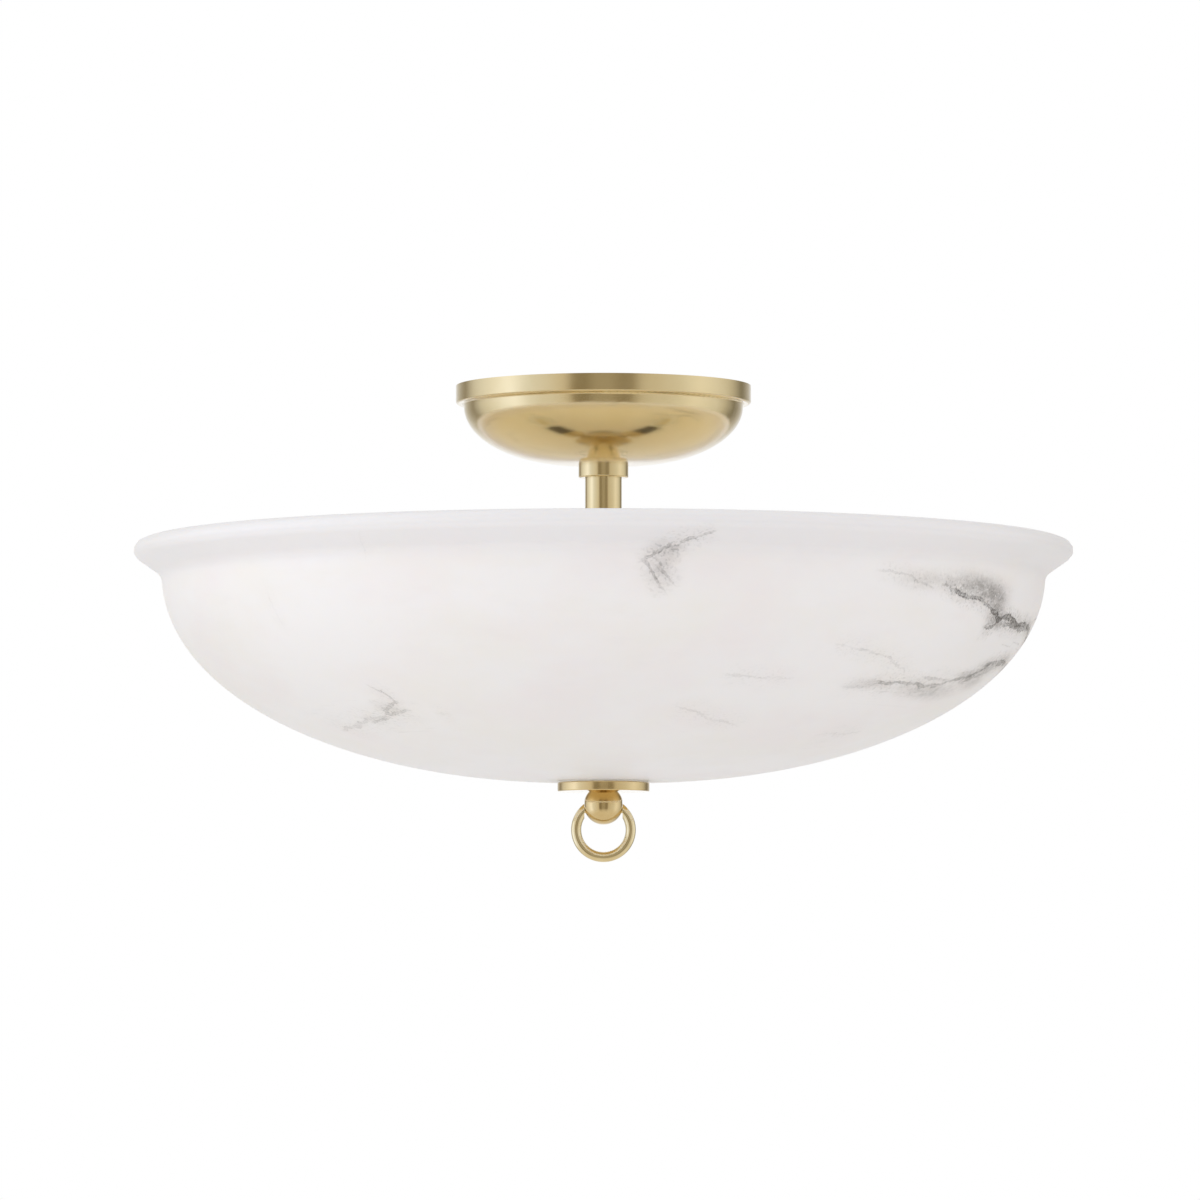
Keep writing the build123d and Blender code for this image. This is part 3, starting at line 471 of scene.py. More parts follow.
fittings = {}
for name, (light, deep, grain, smooth, rough, more) in FITTINGS.items():
    fittings[name] = fitting_finish(name, light, deep, grain * MM, smooth, rough, **more)
print("fitting finishes:", len(fittings))

# %% [markdown]
# ## Zinc plate
# Plated steel shows faint angular patches where the zinc crystals grew, a little bluer or yellower from
# patch to patch. A Voronoi texture gives the patches, and fine noise on top gives the dull rolled grain.

# %% Zinc-plated steel
ZINC_PATCH = 3.5 * MM
ZINC_GRAIN = 0.5 * MM
ZINC_DEPTH = 0.01 * MM
ZINC_TINTS = [(0.0, (0.50, 0.51, 0.53)), (0.5, (0.60, 0.60, 0.59)), (1.0, (0.66, 0.64, 0.59))]

zinc_steel, tree, shader = new_finish("zinc_steel", metallic=1.0)
place = object_place(tree)
crystals = add(tree, "ShaderNodeTexVoronoi")
feed(crystals.inputs["Vector"], place)
crystals.inputs["Scale"].default_value = 1.0 / ZINC_PATCH
patch = add(tree, "ShaderNodeSeparateColor")
feed(patch.inputs[0], crystals.outputs["Color"])
grain = lumps(place, ZINC_GRAIN, detail=4.0)
feed(shader.inputs["Base Color"], ramp(patch.outputs[0], ZINC_TINTS))
zinc_gloss = between(calc("ADD", patch.outputs[1], grain), 0.24, 0.36)
feed(shader.inputs["Roughness"], zinc_gloss)
raise_surface(shader, grain, ZINC_DEPTH, 0.3)
fittings["zinc_steel"] = zinc_steel
print("finish:", zinc_steel.name)

# %% [markdown]
# ## Bulb glass
# A candle bulb is blown from thin clear glass. Its wall has slight waves from the mould, so a very
# shallow bump keeps the glass from looking like a perfect lens.

# %% Clear glass
GLASS_WAVE = 9 * MM
GLASS_DEPTH = 0.05 * MM
GLASS_TINTS = [(0.3, (0.97, 0.98, 0.975)), (0.7, (0.99, 0.99, 0.985))]

clear_glass, tree, shader = new_finish("clear_glass", transmission_weight=1.0, ior=1.45, roughness=0.02)
waves = lumps(object_place(tree), GLASS_WAVE, detail=1.0)
feed(shader.inputs["Base Color"], ramp(waves, GLASS_TINTS))
raise_surface(shader, waves, GLASS_DEPTH, 0.3)
fittings["clear_glass"] = clear_glass
print("finish:", clear_glass.name)

# %% [markdown]
# ## Dressing the CAD nodes
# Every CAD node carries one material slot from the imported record. Nearly all of them already have the right
# shape, so they keep their meshes, and the plain slot is swapped for the finish with the same name. Four
# brass nodes get a finish of their own instead.

# %% Dress the CAD nodes
finishes = {**fittings, "satin_brass": satin_brass, "hub_brass": hub_brass}
own_finishes = {
    "canopy_shell": spun_brass,
    "finial_disc": disc_brass,
    "finial_ball": ball_brass,
    "drop_ring": ring_brass,
}
dressed = 0
for node_name, node in nodes.items():
    for place_in_list, plain_slot in enumerate(node.material_slots):
        slot_name = plain_slot.material.name.split(".")[0]
        if slot_name in finishes:
            node.data.materials[place_in_list] = own_finishes.get(node_name, finishes[slot_name])
            dressed += 1
print("dressed slots:", dressed)

# %% [markdown]
# ## The bowl's section
# A stone bowl is turned on a lathe, so half of its section tells all. The outside climbs from a flat seat
# round a full belly to a steep wall, turns through a small fillet and flares into a sloping lip of even
# thickness. The inside follows it one wall further in. A Bezier curve holds such a line with few points,
# and the length of its handles, called pull here, sets how full the belly is.

# %% Work out the section's points
BOWL_RADIUS = 203.2
BOWL_TOP = -68.15
BOWL_DEPTH = 103.2
STONE_WALL = 8.0
LIP_OVERHANG = 11.9
LIP_SLOPE = math.radians(35.0)
WALL_DRAFT = math.radians(4.5)
NECK_FILLET = 6.1
BELLY_WALL_PULL = 54.0
BELLY_FLOOR_PULL = 81.5
SEAT_RADIUS = 21.0
HOLE_RADIUS = 6.0
SEAT_CHAMFER = 0.8

up_lip = Vector((math.cos(LIP_SLOPE), math.sin(LIP_SLOPE)))
under_lip = Vector((math.sin(LIP_SLOPE), -math.cos(LIP_SLOPE)))
up_wall = Vector((math.sin(WALL_DRAFT), math.cos(WALL_DRAFT)))
out_of_wall = Vector((math.cos(WALL_DRAFT), -math.sin(WALL_DRAFT)))
neck_turn = math.pi / 2 - WALL_DRAFT - LIP_SLOPE
lip_middle = Vector((BOWL_RADIUS - STONE_WALL / 2, BOWL_TOP - STONE_WALL / 2))
lip_under = lip_middle + under_lip * (STONE_WALL / 2)
lip_upper = lip_middle - under_lip * (STONE_WALL / 2)
neck_run = (lip_under.x - BOWL_RADIUS + LIP_OVERHANG) / math.cos(LIP_SLOPE)
neck_corner = lip_under - up_lip * neck_run
neck_reach = NECK_FILLET * math.tan(neck_turn / 2)
wall_end = neck_corner - up_wall * neck_reach
lip_start = neck_corner + up_lip * neck_reach
inner_wall_end = wall_end - out_of_wall * STONE_WALL
inner_lip_start = lip_start - under_lip * STONE_WALL
seat_edge = Vector((SEAT_RADIUS, BOWL_TOP - BOWL_DEPTH))
floor_edge = seat_edge + Vector((0, STONE_WALL))
inner_share = (inner_wall_end - floor_edge).length / (wall_end - seat_edge).length
arc_pull = 4 / 3 * math.tan(neck_turn / 4)
neck_pull = arc_pull * NECK_FILLET
inner_neck_pull = arc_pull * (NECK_FILLET + STONE_WALL)
lip_pull = 4 / 3 * STONE_WALL / 2
print("wall ends at", [round(v, 2) for v in wall_end], "inner share", round(inner_share, 4))

# %% [markdown]
# ## Turning the bowl
# The section is entered as a Bezier curve, made a mesh, and spun a full turn around the axis, as the lathe
# does it. A Screw modifier would do as well, but Spin leaves a plain mesh that can be measured at once.
# The spin's seam is merged, and the normals are recalculated, because a spun section can come out inside
# out.

# %% Helpers to draw and spin
SEAM_GAP = 0.005 * MM
SPUN_SMOOTH = math.radians(40)


def draw_section(name, stops, cuts):
    """A line of edges in the XZ plane, from Bezier stops (point, handle in, handle out) in millimetres."""
    bpy.ops.object.select_all(action="DESELECT")
    bpy.ops.curve.primitive_bezier_curve_add(location=(0, 0, 0))
    line = bpy.context.object
    line.name = name
    line.data.resolution_u = cuts
    spline = line.data.splines[0]
    spline.bezier_points.add(len(stops) - len(spline.bezier_points))
    for point, (middle, handle_in, handle_out) in zip(spline.bezier_points, stops):
        point.handle_left_type = point.handle_right_type = "FREE"
        point.co = (middle[0] * MM, 0, middle[1] * MM)
        point.handle_left = (handle_in[0] * MM, 0, handle_in[1] * MM)
        point.handle_right = (handle_out[0] * MM, 0, handle_out[1] * MM)
    bpy.ops.object.convert(target="MESH")
    return bpy.context.object


def spin_section(piece, steps):
    """The open or closed line of a section spun a full turn around the Z axis and closed."""
    bpy.ops.object.mode_set(mode="EDIT")
    bpy.ops.mesh.select_all(action="SELECT")
    bpy.ops.mesh.spin(steps=steps, angle=2 * math.pi, center=(0, 0, 0), axis=(0, 0, 1))
    bpy.ops.mesh.select_all(action="SELECT")
    bpy.ops.mesh.remove_doubles(threshold=SEAM_GAP)
    bpy.ops.mesh.normals_make_consistent(inside=False)
    bpy.ops.object.mode_set(mode="OBJECT")
    bpy.ops.object.shade_smooth_by_angle(angle=SPUN_SMOOTH)
    return piece


def join_pieces(pieces, name):
    """Several mesh objects made one, under a new name."""
    bpy.ops.object.select_all(action="DESELECT")
    for piece in pieces:
        piece.select_set(True)
    bpy.context.view_layer.objects.active = pieces[0]
    if len(pieces) > 1:
        bpy.ops.object.join()
    bpy.context.object.name = name
    return bpy.context.object


def corners(points):
    """Bezier stops for a line with sharp corners."""
    return [(Vector(point), Vector(point), Vector(point)) for point in points]


print("section helpers ready")

# %% Draw the bowl's lines
BELLY_CUTS = 76
BEND_CUTS = 5
HOLE_CUTS = 2

chamfer_out = Vector((SEAT_CHAMFER, 0))
chamfer_up = Vector((0, SEAT_CHAMFER))
hole_top = Vector((HOLE_RADIUS, floor_edge.y))
hole_bottom = Vector((HOLE_RADIUS, seat_edge.y))
outside_stops = [
    (seat_edge, seat_edge, seat_edge + Vector((BELLY_FLOOR_PULL, 0))),
    (wall_end, wall_end - up_wall * BELLY_WALL_PULL, wall_end),
]
lip_stops = [
    (wall_end, wall_end, wall_end + up_wall * neck_pull),
    (lip_start, lip_start - up_lip * neck_pull, lip_start),
    (lip_under, lip_under, lip_under + up_lip * lip_pull),
    (lip_upper, lip_upper + up_lip * lip_pull, lip_upper),
    (inner_lip_start, inner_lip_start, inner_lip_start - up_lip * inner_neck_pull),
    (inner_wall_end, inner_wall_end + up_wall * inner_neck_pull, inner_wall_end),
]
inside_stops = [
    (inner_wall_end, inner_wall_end, inner_wall_end - up_wall * (BELLY_WALL_PULL * inner_share)),
    (floor_edge, floor_edge + Vector((BELLY_FLOOR_PULL * inner_share, 0)), floor_edge),
]
hole_points = [
    floor_edge,
    hole_top + chamfer_out,
    hole_top - chamfer_up,
    hole_bottom + chamfer_up,
    hole_bottom + chamfer_out,
    seat_edge,
]
bowl_lines = [
    draw_section("belly_outside", outside_stops, BELLY_CUTS),
    draw_section("lip_line", lip_stops, BEND_CUTS),
    draw_section("belly_inside", inside_stops, BELLY_CUTS),
    draw_section("hole_line", corners(hole_points), HOLE_CUTS),
]
print("points of each line:", [len(line.data.vertices) for line in bowl_lines])

# %% Spin the bowl
BOWL_STEPS = 480

stone_bowl = join_pieces(bowl_lines, "stone_bowl")
bpy.ops.object.mode_set(mode="EDIT")
bpy.ops.mesh.select_all(action="SELECT")
bpy.ops.mesh.remove_doubles(threshold=SEAM_GAP)
bpy.ops.object.mode_set(mode="OBJECT")
section_points = [(v.co.x / MM, v.co.z / MM) for v in stone_bowl.data.vertices]
spin_section(stone_bowl, BOWL_STEPS)
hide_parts("alabaster_bowl")
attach(stone_bowl, "bowl")
print("section points:", len(section_points), "bowl faces:", len(stone_bowl.data.polygons))

# %% [markdown]
# ## Where the veins run
# Alabaster is nearly white, with a few smoky veins where iron and clay crept into the stone. They are not
# spread evenly, so noise alone would look wrong. Each vein is written down, as its strength and a few
# points, each an angle around the bowl in degrees and a height in millimetres. The front is at -90
# degrees. Veins that run close together are kept in different sets, because each set gets a distance of
# its own in the next step. A cloud of smoke is an angle, a height, a length, a width and a darkness.

# %% Write down the veins
VEIN_SETS = {
    "main": [
        (0.28, [(-52.8, -90.6), (-50.8, -90.8), (-48.8, -91.3), (-46.3, -93.4), (-43.7, -95.5)]),
        (1.15, [(-41.2, -95.1), (-39.7, -96.1), (-37.4, -97),
                (-35.4, -98.7), (-32.2, -99.6), (-29.6, -101.8)]),
        (1.45, [(-29.6, -101.8), (-26.8, -104.3), (-25.3, -106.5), (-22.8, -104.8),
                (-17.9, -106.8), (-10.5, -106), (-6.5, -107.9)]),
        (0.95, [(-7.3, -107.5), (-4.5, -110.8), (-1, -111.6), (2.5, -115.8), (5, -116.4)]),
        (0.75, [(-45.3, -134.3), (-41.9, -134.6), (-38.9, -133.9),
                (-35, -134.5), (-29, -134.4), (-25.4, -132.2)]),
        (1.05, [(-25.4, -132.2), (-21.7, -129.9), (-18.5, -127.4),
                (-16.1, -122.8), (-11, -121.2), (-6.5, -122.2)]),
        (0.80, [(-7.3, -122), (-4, -121.4), (-0.5, -124.6), (4, -125.2), (8, -129)]),
        (0.66, [(-85.2, -88.5), (-82.9, -84.9), (-82, -83.3),
                (-81.1, -83.2), (-80.4, -80.5), (-77.1, -77.2)]),
        (0.48, [(-128.5, -137.2), (-127, -140.9), (-127, -143.2),
                (-131, -146.3), (-132.1, -148.4), (-126.2, -146.4)]),
        (0.22, [(-77.6, -146), (-74.3, -147.8), (-70.5, -149.9), (-63.5, -153)]),
        (0.60, [(38, -96), (47, -101), (55, -99), (63, -106), (72, -112), (79, -111)]),
        (0.45, [(96, -128), (104, -131), (113, -129), (119, -134)]),
        (0.75, [(141, -92), (149, -97), (156, -96), (165, -104), (172, -103)]),
        (0.40, [(126, -131), (133, -136), (141, -134), (149, -141)]),
    ],
    "side": [
        (1.30, [(-25.3, -106.5), (-25.8, -108.7), (-26.6, -110.1), (-28.4, -110.2)]),
        (0.28, [(-56.3, -121), (-53.8, -121.8), (-50.8, -122.7),
                (-47.1, -124.1), (-43.4, -127), (-39.8, -130.3)]),
        (0.50, [(-33.9, -131.4), (-30, -131.5), (-26.6, -131.6)]),
        (0.95, [(-19.2, -124.1), (-14.4, -122.9), (-8.5, -121.7)]),
        (0.58, [(-85.2, -88.5), (-84.5, -89.8), (-84.1, -92.8), (-83.2, -98), (-82.5, -101)]),
        (0.32, [(-132.9, -148.8), (-138.7, -149.5), (-144.7, -151.2), (-151.4, -152.5)]),
        (0.22, [(-71.4, -133.5), (-66.3, -134.4), (-61, -134.4)]),
        (0.45, [(55, -99), (58, -92), (63, -88), (66, -83)]),
        (0.35, [(156, -96), (153, -104), (155, -112)]),
    ],
    "fine": [
        (0.45, [(-31.2, -98.4), (-30.2, -97.6), (-28.5, -97.7), (-28.4, -99.5), (-29.6, -100.6)]),
        (0.95, [(-23.8, -107.7), (-20.1, -107.9), (-14.4, -108.5), (-10.5, -107.4)]),
        (0.50, [(-9.5, -105.6), (-7, -102.8), (-3.5, -101.9), (-1, -98.6), (2.5, -97.4)]),
        (0.70, [(-20.7, -131.6), (-19, -129.9), (-16.6, -128.5), (-14.5, -126.3)]),
        (0.58, [(-83.6, -87.5), (-82.9, -91.7), (-82.1, -94.7), (-81.4, -98.1)]),
        (0.25, [(-50.1, -136.7), (-47.9, -136.5), (-45.1, -136.9)]),
        (0.30, [(-41.9, -138.1), (-39.4, -138.2)]),
        (0.30, [(-120.2, -148.1), (-118.6, -148.2)]),
        (0.20, [(-39.9, -155.1), (-34.1, -154.3), (-29.5, -153.1)]),
        (0.08, [(-120.3, -76.4), (-121, -80.8), (-121.1, -85.2)]),
        (0.08, [(-138.6, -93.9), (-137.9, -102.7), (-137.5, -113.4)]),
        (0.40, [(63, -106), (66, -115), (71, -121)]),
        (0.30, [(165, -104), (169, -112), (176, -115)]),
    ],
}
SMOKE = [
    (-35.4, -93.3, 14, 4.5, 0.70),
    (-30.6, -95.4, 12, 4.5, 0.75),
    (-27.4, -98.6, 9, 5, 0.70),
    (-26.6, -103.4, 6, 3.5, 0.60),
    (-25.4, -107.0, 9, 3.0, 0.95),
    (-18.0, -107.2, 11, 2.2, 0.80),
    (-10.0, -106.8, 9, 2.2, 0.75),
    (-3.0, -111.0, 10, 3.2, 0.45),
    (-44.1, -93.1, 17, 4, 0.30),
    (-21.0, -129.3, 9, 2.6, 0.75),
    (-16.6, -125.4, 11, 3.4, 0.75),
    (-10.5, -121.4, 10, 2.8, 0.70),
    (-2.0, -123.4, 11, 3.2, 0.40),
    (-28.2, -136.8, 24, 5, 0.50),
    (-16.0, -131.0, 15, 4.5, 0.42),
    (-45.4, -135.5, 10, 3, 0.35),
    (-82.9, -91.1, 6, 8, 0.38),
    (-81.8, -83.4, 5, 3, 0.40),
    (-129.7, -145.4, 7, 4.5, 0.20),
    (-136.8, -149.1, 5, 2, 0.35),
    (60, -103, 16, 6, 0.70),
    (75, -112, 12, 4, 0.60),
    (108, -131, 16, 5, 0.45),
    (150, -96, 14, 5, 0.80),
    (163, -103, 10, 5, 0.70),
    (139, -136, 15, 4, 0.40),
]
print("veins:", sum(len(veins) for veins in VEIN_SETS.values()), "clouds:", len(SMOKE))

# %% [markdown]
# ## Measuring the distance to a vein
# Every point of the mesh is given its distance to the nearest vein of each set. The distance has a sign,
# one side of the vein against the other, because a signed distance stays exact between two mesh points.
# An image could hold the veins too, but it would need an unwrapped bowl and many pixels for a thin line.

# %% Find points on the outer face
VEIN_STEP = 0.8
SEAT_SPARE = 0.5

# The section starts with the outer belly. The fillet, the underside of the lip and its end follow.
outside = np.array([p for p in section_points if p[0] > SEAT_RADIUS - SEAT_SPARE], float)
outside = outside[: BELLY_CUTS + 1 + 3 * BEND_CUTS]
outside = outside[np.argsort(outside[:, 1])]


def on_the_bowl(angle, height):
    """A point of the outer face, in millimetres, by angle in degrees and height."""
    radius = np.interp(height, outside[:, 1], outside[:, 0])
    turn = math.radians(angle)
    return np.array((radius * math.cos(turn), radius * math.sin(turn), height))


def vein_samples(stops):
    """Points a step apart along a vein, each with its direction and its distance to the nearer end."""
    bends = [on_the_bowl(angle, height) for angle, height in stops]
    runs = [np.linalg.norm(b - a) for a, b in zip(bends, bends[1:])]
    points, directions, to_ends = [], [], []
    gone = 0.0
    for a, b, run in zip(bends, bends[1:], runs):
        for along in np.arange(0, run, VEIN_STEP):
            points.append(a + (b - a) * along / run)
            directions.append((b - a) / run)
            to_ends.append(min(gone + along, sum(runs) - gone - along))
        gone += run
    return np.array(points), np.array(directions), np.array(to_ends)


print("outer face points:", len(outside))

# %% Measure veins and smoke
VEIN_REACH = 9.0
VEIN_TAPER = 7.0
VEIN_END_SPARE = 2.0


def vein_fields(places, veins):
    """At each place: the signed distance to the nearest vein in millimetres, and that vein's strength."""
    reach = VEIN_REACH + STONE_WALL
    offsets = np.full(len(places), VEIN_REACH)
    strengths = np.zeros(len(places))
    nearest_gap = np.full(len(places), reach)
    for strength, stops in veins:
        points, directions, to_ends = vein_samples(stops)
        boxed = (places > points.min(axis=0) - reach) & (places < points.max(axis=0) + reach)
        close = np.flatnonzero(boxed.all(axis=1))
        gaps = np.linalg.norm(places[close, None] - points[None], axis=2)
        best = gaps.argmin(axis=1)
        won = gaps.min(axis=1) < nearest_gap[close]
        close, best = close[won], best[won]
        nearest_gap[close] = gaps[won].min(axis=1)
        away = places[close] - points[best]
        across = np.cross(places[close] * (1, 1, 0), directions[best])
        across /= np.linalg.norm(across, axis=1)[:, None]
        offsets[close] = (away * across).sum(axis=1)
        overshoot = np.abs((away * directions[best]).sum(axis=1))
        near = np.clip(2 * (1 - np.abs(offsets[close]) / VEIN_REACH), 0, 1)
        taper = np.clip((to_ends[best] - overshoot + VEIN_END_SPARE) / VEIN_TAPER, 0, 1)
        strengths[close] = strength * near * np.sqrt(taper)
    return offsets, strengths


def smoke_field(places):
    """Soft grey clouds, longer around the bowl than upwards, added up at each place."""
    total = np.zeros(len(places))
    for angle, height, length, width, darkness in SMOKE:
        away = places - on_the_bowl(angle, height)
        turn = math.radians(angle)
        around = away @ np.array((-math.sin(turn), math.cos(turn), 0))
        upward = np.maximum((away**2).sum(axis=1) - around**2, 0)
        total += darkness * np.exp(-((around / length) ** 2) - upward / width**2)
    return np.clip(total, 0, 1)


print("vein reach:", VEIN_REACH, "mm")

# %% [markdown]
# ## Keeping the distances on the mesh
# A mesh can carry a number for every point, called an attribute, and a material can read it by its name.
# The distances, the strengths and the smoke are kept like this. One more attribute holds painted warm
# shade: it is nothing on the outside, and on the inside, where a point's normal looks towards the axis, or
# straight up on the floor, it grows with depth below the lip.


# %% Keep the fields
def keep_field(mesh, name, values):
    """A float attribute on the mesh points."""
    mesh.attributes.new(name, "FLOAT", "POINT").data.foreach_set("value", values.astype(np.float32))


INSIDE_SHADE_DEPTH = 50.0
LOOKS_UP = 0.99

bowl_places = np.array([v.co for v in stone_bowl.data.vertices]) / MM
for set_name, veins in VEIN_SETS.items():
    offsets, strengths = vein_fields(bowl_places, veins)
    keep_field(stone_bowl.data, set_name + "_offset", offsets)
    keep_field(stone_bowl.data, set_name + "_strength", strengths)
keep_field(stone_bowl.data, "smoke", smoke_field(bowl_places))
facing = np.array([v.normal for v in stone_bowl.data.vertices])
looks_in = (facing[:, :2] * bowl_places[:, :2]).sum(axis=1) < 0
# Painted warm shade: on the inside of the bowl its share grows with depth below the lip.
inside_shade_share = np.clip((BOWL_TOP - STONE_WALL - bowl_places[:, 2]) / INSIDE_SHADE_DEPTH, 0, 1)
keep_field(stone_bowl.data, "inside", (looks_in | (facing[:, 2] > LOOKS_UP)) * inside_shade_share)
print("bowl attributes:", len(stone_bowl.data.attributes))

# %% [markdown]
# ## Alabaster
# The stone lets light in a little way, so it gets a share of subsurface scattering. A vein in it is a thin
# line with a haze and a scatter of dark and bright crystals on both sides. All of that comes from the
# attributes of the last step, and noise pushes the distance about, so that no line is smooth or even.

# %% Helpers for the stone
VEIN_WIDTH_LEAST = 0.3
VEIN_WIDTH_GAIN = 0.75
VEIN_PROFILE = [(0.0, 0.50), (0.28, 0.62), (0.55, 1.0), (1.0, 0.0)]
ZONE_WIDTH = 6.0
ZONE_PROFILE = [(0.0, 1.0), (0.25, 0.6), (1.0, 0.0)]


def field(beside, name):
    """The value of a mesh attribute."""
    return add(beside, "ShaderNodeAttribute", attribute_name=name).outputs["Fac"]


def squeezed(place, times):
    """The place with its height multiplied, so that noise read there lies in flat layers."""
    node = add(place, "ShaderNodeVectorMath", operation="MULTIPLY")
    feed(node.inputs[0], place)
    node.inputs[1].default_value = (1, 1, times)
    return node.outputs[0]


def height_share(height, low, high):
    """How far a height has climbed from a low to a high level, from 0 to 1."""
    node = add(height, "ShaderNodeMapRange", clamp=True)
    feed(node.inputs["Value"], height)
    node.inputs["From Min"].default_value = low
    node.inputs["From Max"].default_value = high
    return node.outputs["Result"]


def swing(value, reach):
    """Noise turned into a push of up to about this many millimetres to either side."""
    return calc("MULTIPLY", calc("SUBTRACT", value, 0.5), 2 * reach)


def vein(name, push, gaps):
    """The line of a set of veins, and the zone of haze and crystals around it."""
    offset = calc("ABSOLUTE", calc("ADD", field(push, name + "_offset"), push))
    strength = field(push, name + "_strength")
    present = calc("MULTIPLY", strength, gaps)
    width = calc("ADD", calc("MULTIPLY", present, VEIN_WIDTH_GAIN), VEIN_WIDTH_LEAST)
    line = ramp(calc("DIVIDE", offset, width), VEIN_PROFILE)
    zone = ramp(calc("DIVIDE", offset, ZONE_WIDTH), ZONE_PROFILE)
    return calc("MULTIPLY", line, present), calc("MULTIPLY", zone, strength)


print("stone helpers ready")

# %% Veins and crystals
WANDER_SIZE = 9 * MM
WANDER_REACH = 1.6
FRAY_SIZE = 1.5 * MM
FRAY_REACH = 0.9
GAP_SIZE = 6 * MM
GAP_STOPS = [(0.34, 0.30), (0.54, 1.0)]
DARK_CRYSTAL = 1.3 * MM
BRIGHT_CRYSTAL = 1.05 * MM
CRYSTALS_IN_ZONE = 0.8
CRYSTALS_IN_SMOKE = 0.6

alabaster, tree, shader = new_finish(
    "alabaster",
    subsurface_weight=0.25,
    subsurface_scale=0.012,
    ior=1.52,
    coat_weight=0.08,
    coat_roughness=0.25,
)
shader.inputs["Subsurface Radius"].default_value = (1.0, 0.85, 0.7)
place = object_place(tree)
wander = swing(lumps(place, WANDER_SIZE), WANDER_REACH)
fray = swing(lumps(place, FRAY_SIZE, detail=3.0), FRAY_REACH)
push = calc("ADD", wander, fray)
gaps = ramp(lumps(place, GAP_SIZE, detail=3.0), GAP_STOPS)
lines, zone = vein("main", push, gaps)
for set_name in ("side", "fine"):
    set_lines, set_zone = vein(set_name, push, gaps)
    lines = calc("MAXIMUM", lines, set_lines)
    zone = calc("MAXIMUM", zone, set_zone)
smoke = field(tree, "smoke")
smoke_crystals = calc("MULTIPLY", smoke, CRYSTALS_IN_SMOKE)
crystal_zone = calc("ADD", calc("MULTIPLY", zone, CRYSTALS_IN_ZONE), smoke_crystals, clamp=True)
dark_crystals = ramp(lumps(place, DARK_CRYSTAL), [(0.54, 0.0), (0.66, 1.0)])
bright_crystals = ramp(lumps(place, BRIGHT_CRYSTAL), [(0.58, 0.0), (0.68, 1.0)])
print("vein nodes:", len(tree.nodes))

# %% [markdown]
# ## Mixing the stone
# The body drifts slowly between cream, white and a faint rose, in layers that lie flat, so the noise is
# squeezed in height. Painted cool shade greys the lip, more toward its top edge, and painted warm shade
# darkens and yellows the inside toward its floor. Haze, smoke, lines and crystals are then laid over the
# body one by one, each by a Mix node with a share of its own. The polish is a little uneven, with a fine
# shallow grain.

# %% The body of the stone
STONE_WHITE = (0.90, 0.876, 0.876)
STONE_CREAM = (0.888, 0.858, 0.836)
STONE_ROSE = (0.888, 0.84, 0.842)
# Painted cool shade for the lip and its top edge.
LIP_SHADE_GREY = (0.855, 0.84, 0.86)
EDGE_SHADE_GREY = (0.74, 0.73, 0.745)
# Painted warm shade for the inside of the bowl.
INSIDE_WARM_SHADE = (0.88, 0.815, 0.68)
LIP_RANGE = (-88.0 * MM, -80.0 * MM)
LIP_SHADE_SHARE = 0.7
EDGE_RANGE = (-74.0 * MM, -68.5 * MM)
EDGE_SHADE_SHARE = 0.8
DRIFT_SIZE = 60 * MM
ROSE_SIZE = 45 * MM

drift = lumps(squeezed(place, 2.2), DRIFT_SIZE, detail=4.0, roughness=0.55)
rose = lumps(squeezed(place, 1.6), ROSE_SIZE, detail=3.0)
height = split_place(place)["Z"]
lip_shade_mask = height_share(height, *LIP_RANGE)
edge_shade_mask = height_share(height, *EDGE_RANGE)
body = ramp(drift, [(0.36, STONE_CREAM), (0.56, STONE_WHITE)])
body = blend_colours(ramp(rose, [(0.46, 0.0), (0.70, 0.8)]), body, STONE_ROSE)
# Painted cool shade: the lip is greyed, and its top edge greyer still.
body = blend_colours(calc("MULTIPLY", lip_shade_mask, LIP_SHADE_SHARE), body, LIP_SHADE_GREY)
body = blend_colours(calc("MULTIPLY", edge_shade_mask, EDGE_SHADE_SHARE), body, EDGE_SHADE_GREY)
# Painted warm shade: the inside grows darker and yellower toward its floor.
body = blend_colours(field(tree, "inside"), body, INSIDE_WARM_SHADE)
print("body nodes:", len(tree.nodes))

# %% Lay the veins over the body
STONE_BRIGHT = (0.95, 0.94, 0.93)
HAZE_GREY = (0.60, 0.575, 0.55)
SMOKE_GREY = (0.34, 0.32, 0.305)
VEIN_DARK = (0.105, 0.095, 0.09)
HAIR_SIZE = 26 * MM
STREAK_SIZE = 6 * MM
BREAK_SIZE = 0.9 * MM
DARK_SHARE = 0.55
BRIGHT_SHARE = 0.6

hairs = lumps(squeezed(place, 3.0), HAIR_SIZE, detail=5.0, roughness=0.65)
streaks = lumps(squeezed(place, 2.6), STREAK_SIZE, detail=5.0, roughness=0.65)
body = blend_colours(ramp(hairs, [(0.55, 0.0), (0.80, 0.06)]), body, HAZE_GREY)
haze = calc("MULTIPLY", zone, ramp(streaks, [(0.35, 0.1), (0.65, 0.55)]))
body = blend_colours(haze, body, HAZE_GREY)
smoky = calc("MULTIPLY", smoke, ramp(streaks, [(0.30, 0.45), (0.62, 1.0)]))
body = blend_colours(smoky, body, SMOKE_GREY)
broken = ramp(lumps(place, BREAK_SIZE), [(0.35, 0.45), (0.60, 1.0)])
body = blend_colours(calc("MULTIPLY", lines, broken), body, VEIN_DARK)
dark_share = calc("MULTIPLY", crystal_zone, calc("MULTIPLY", dark_crystals, DARK_SHARE))
body = blend_colours(dark_share, body, VEIN_DARK)
bright_share = calc("MULTIPLY", crystal_zone, calc("MULTIPLY", bright_crystals, BRIGHT_SHARE))
body = blend_colours(bright_share, body, STONE_BRIGHT)
feed(shader.inputs["Base Color"], body)
print("colour nodes:", len(tree.nodes))

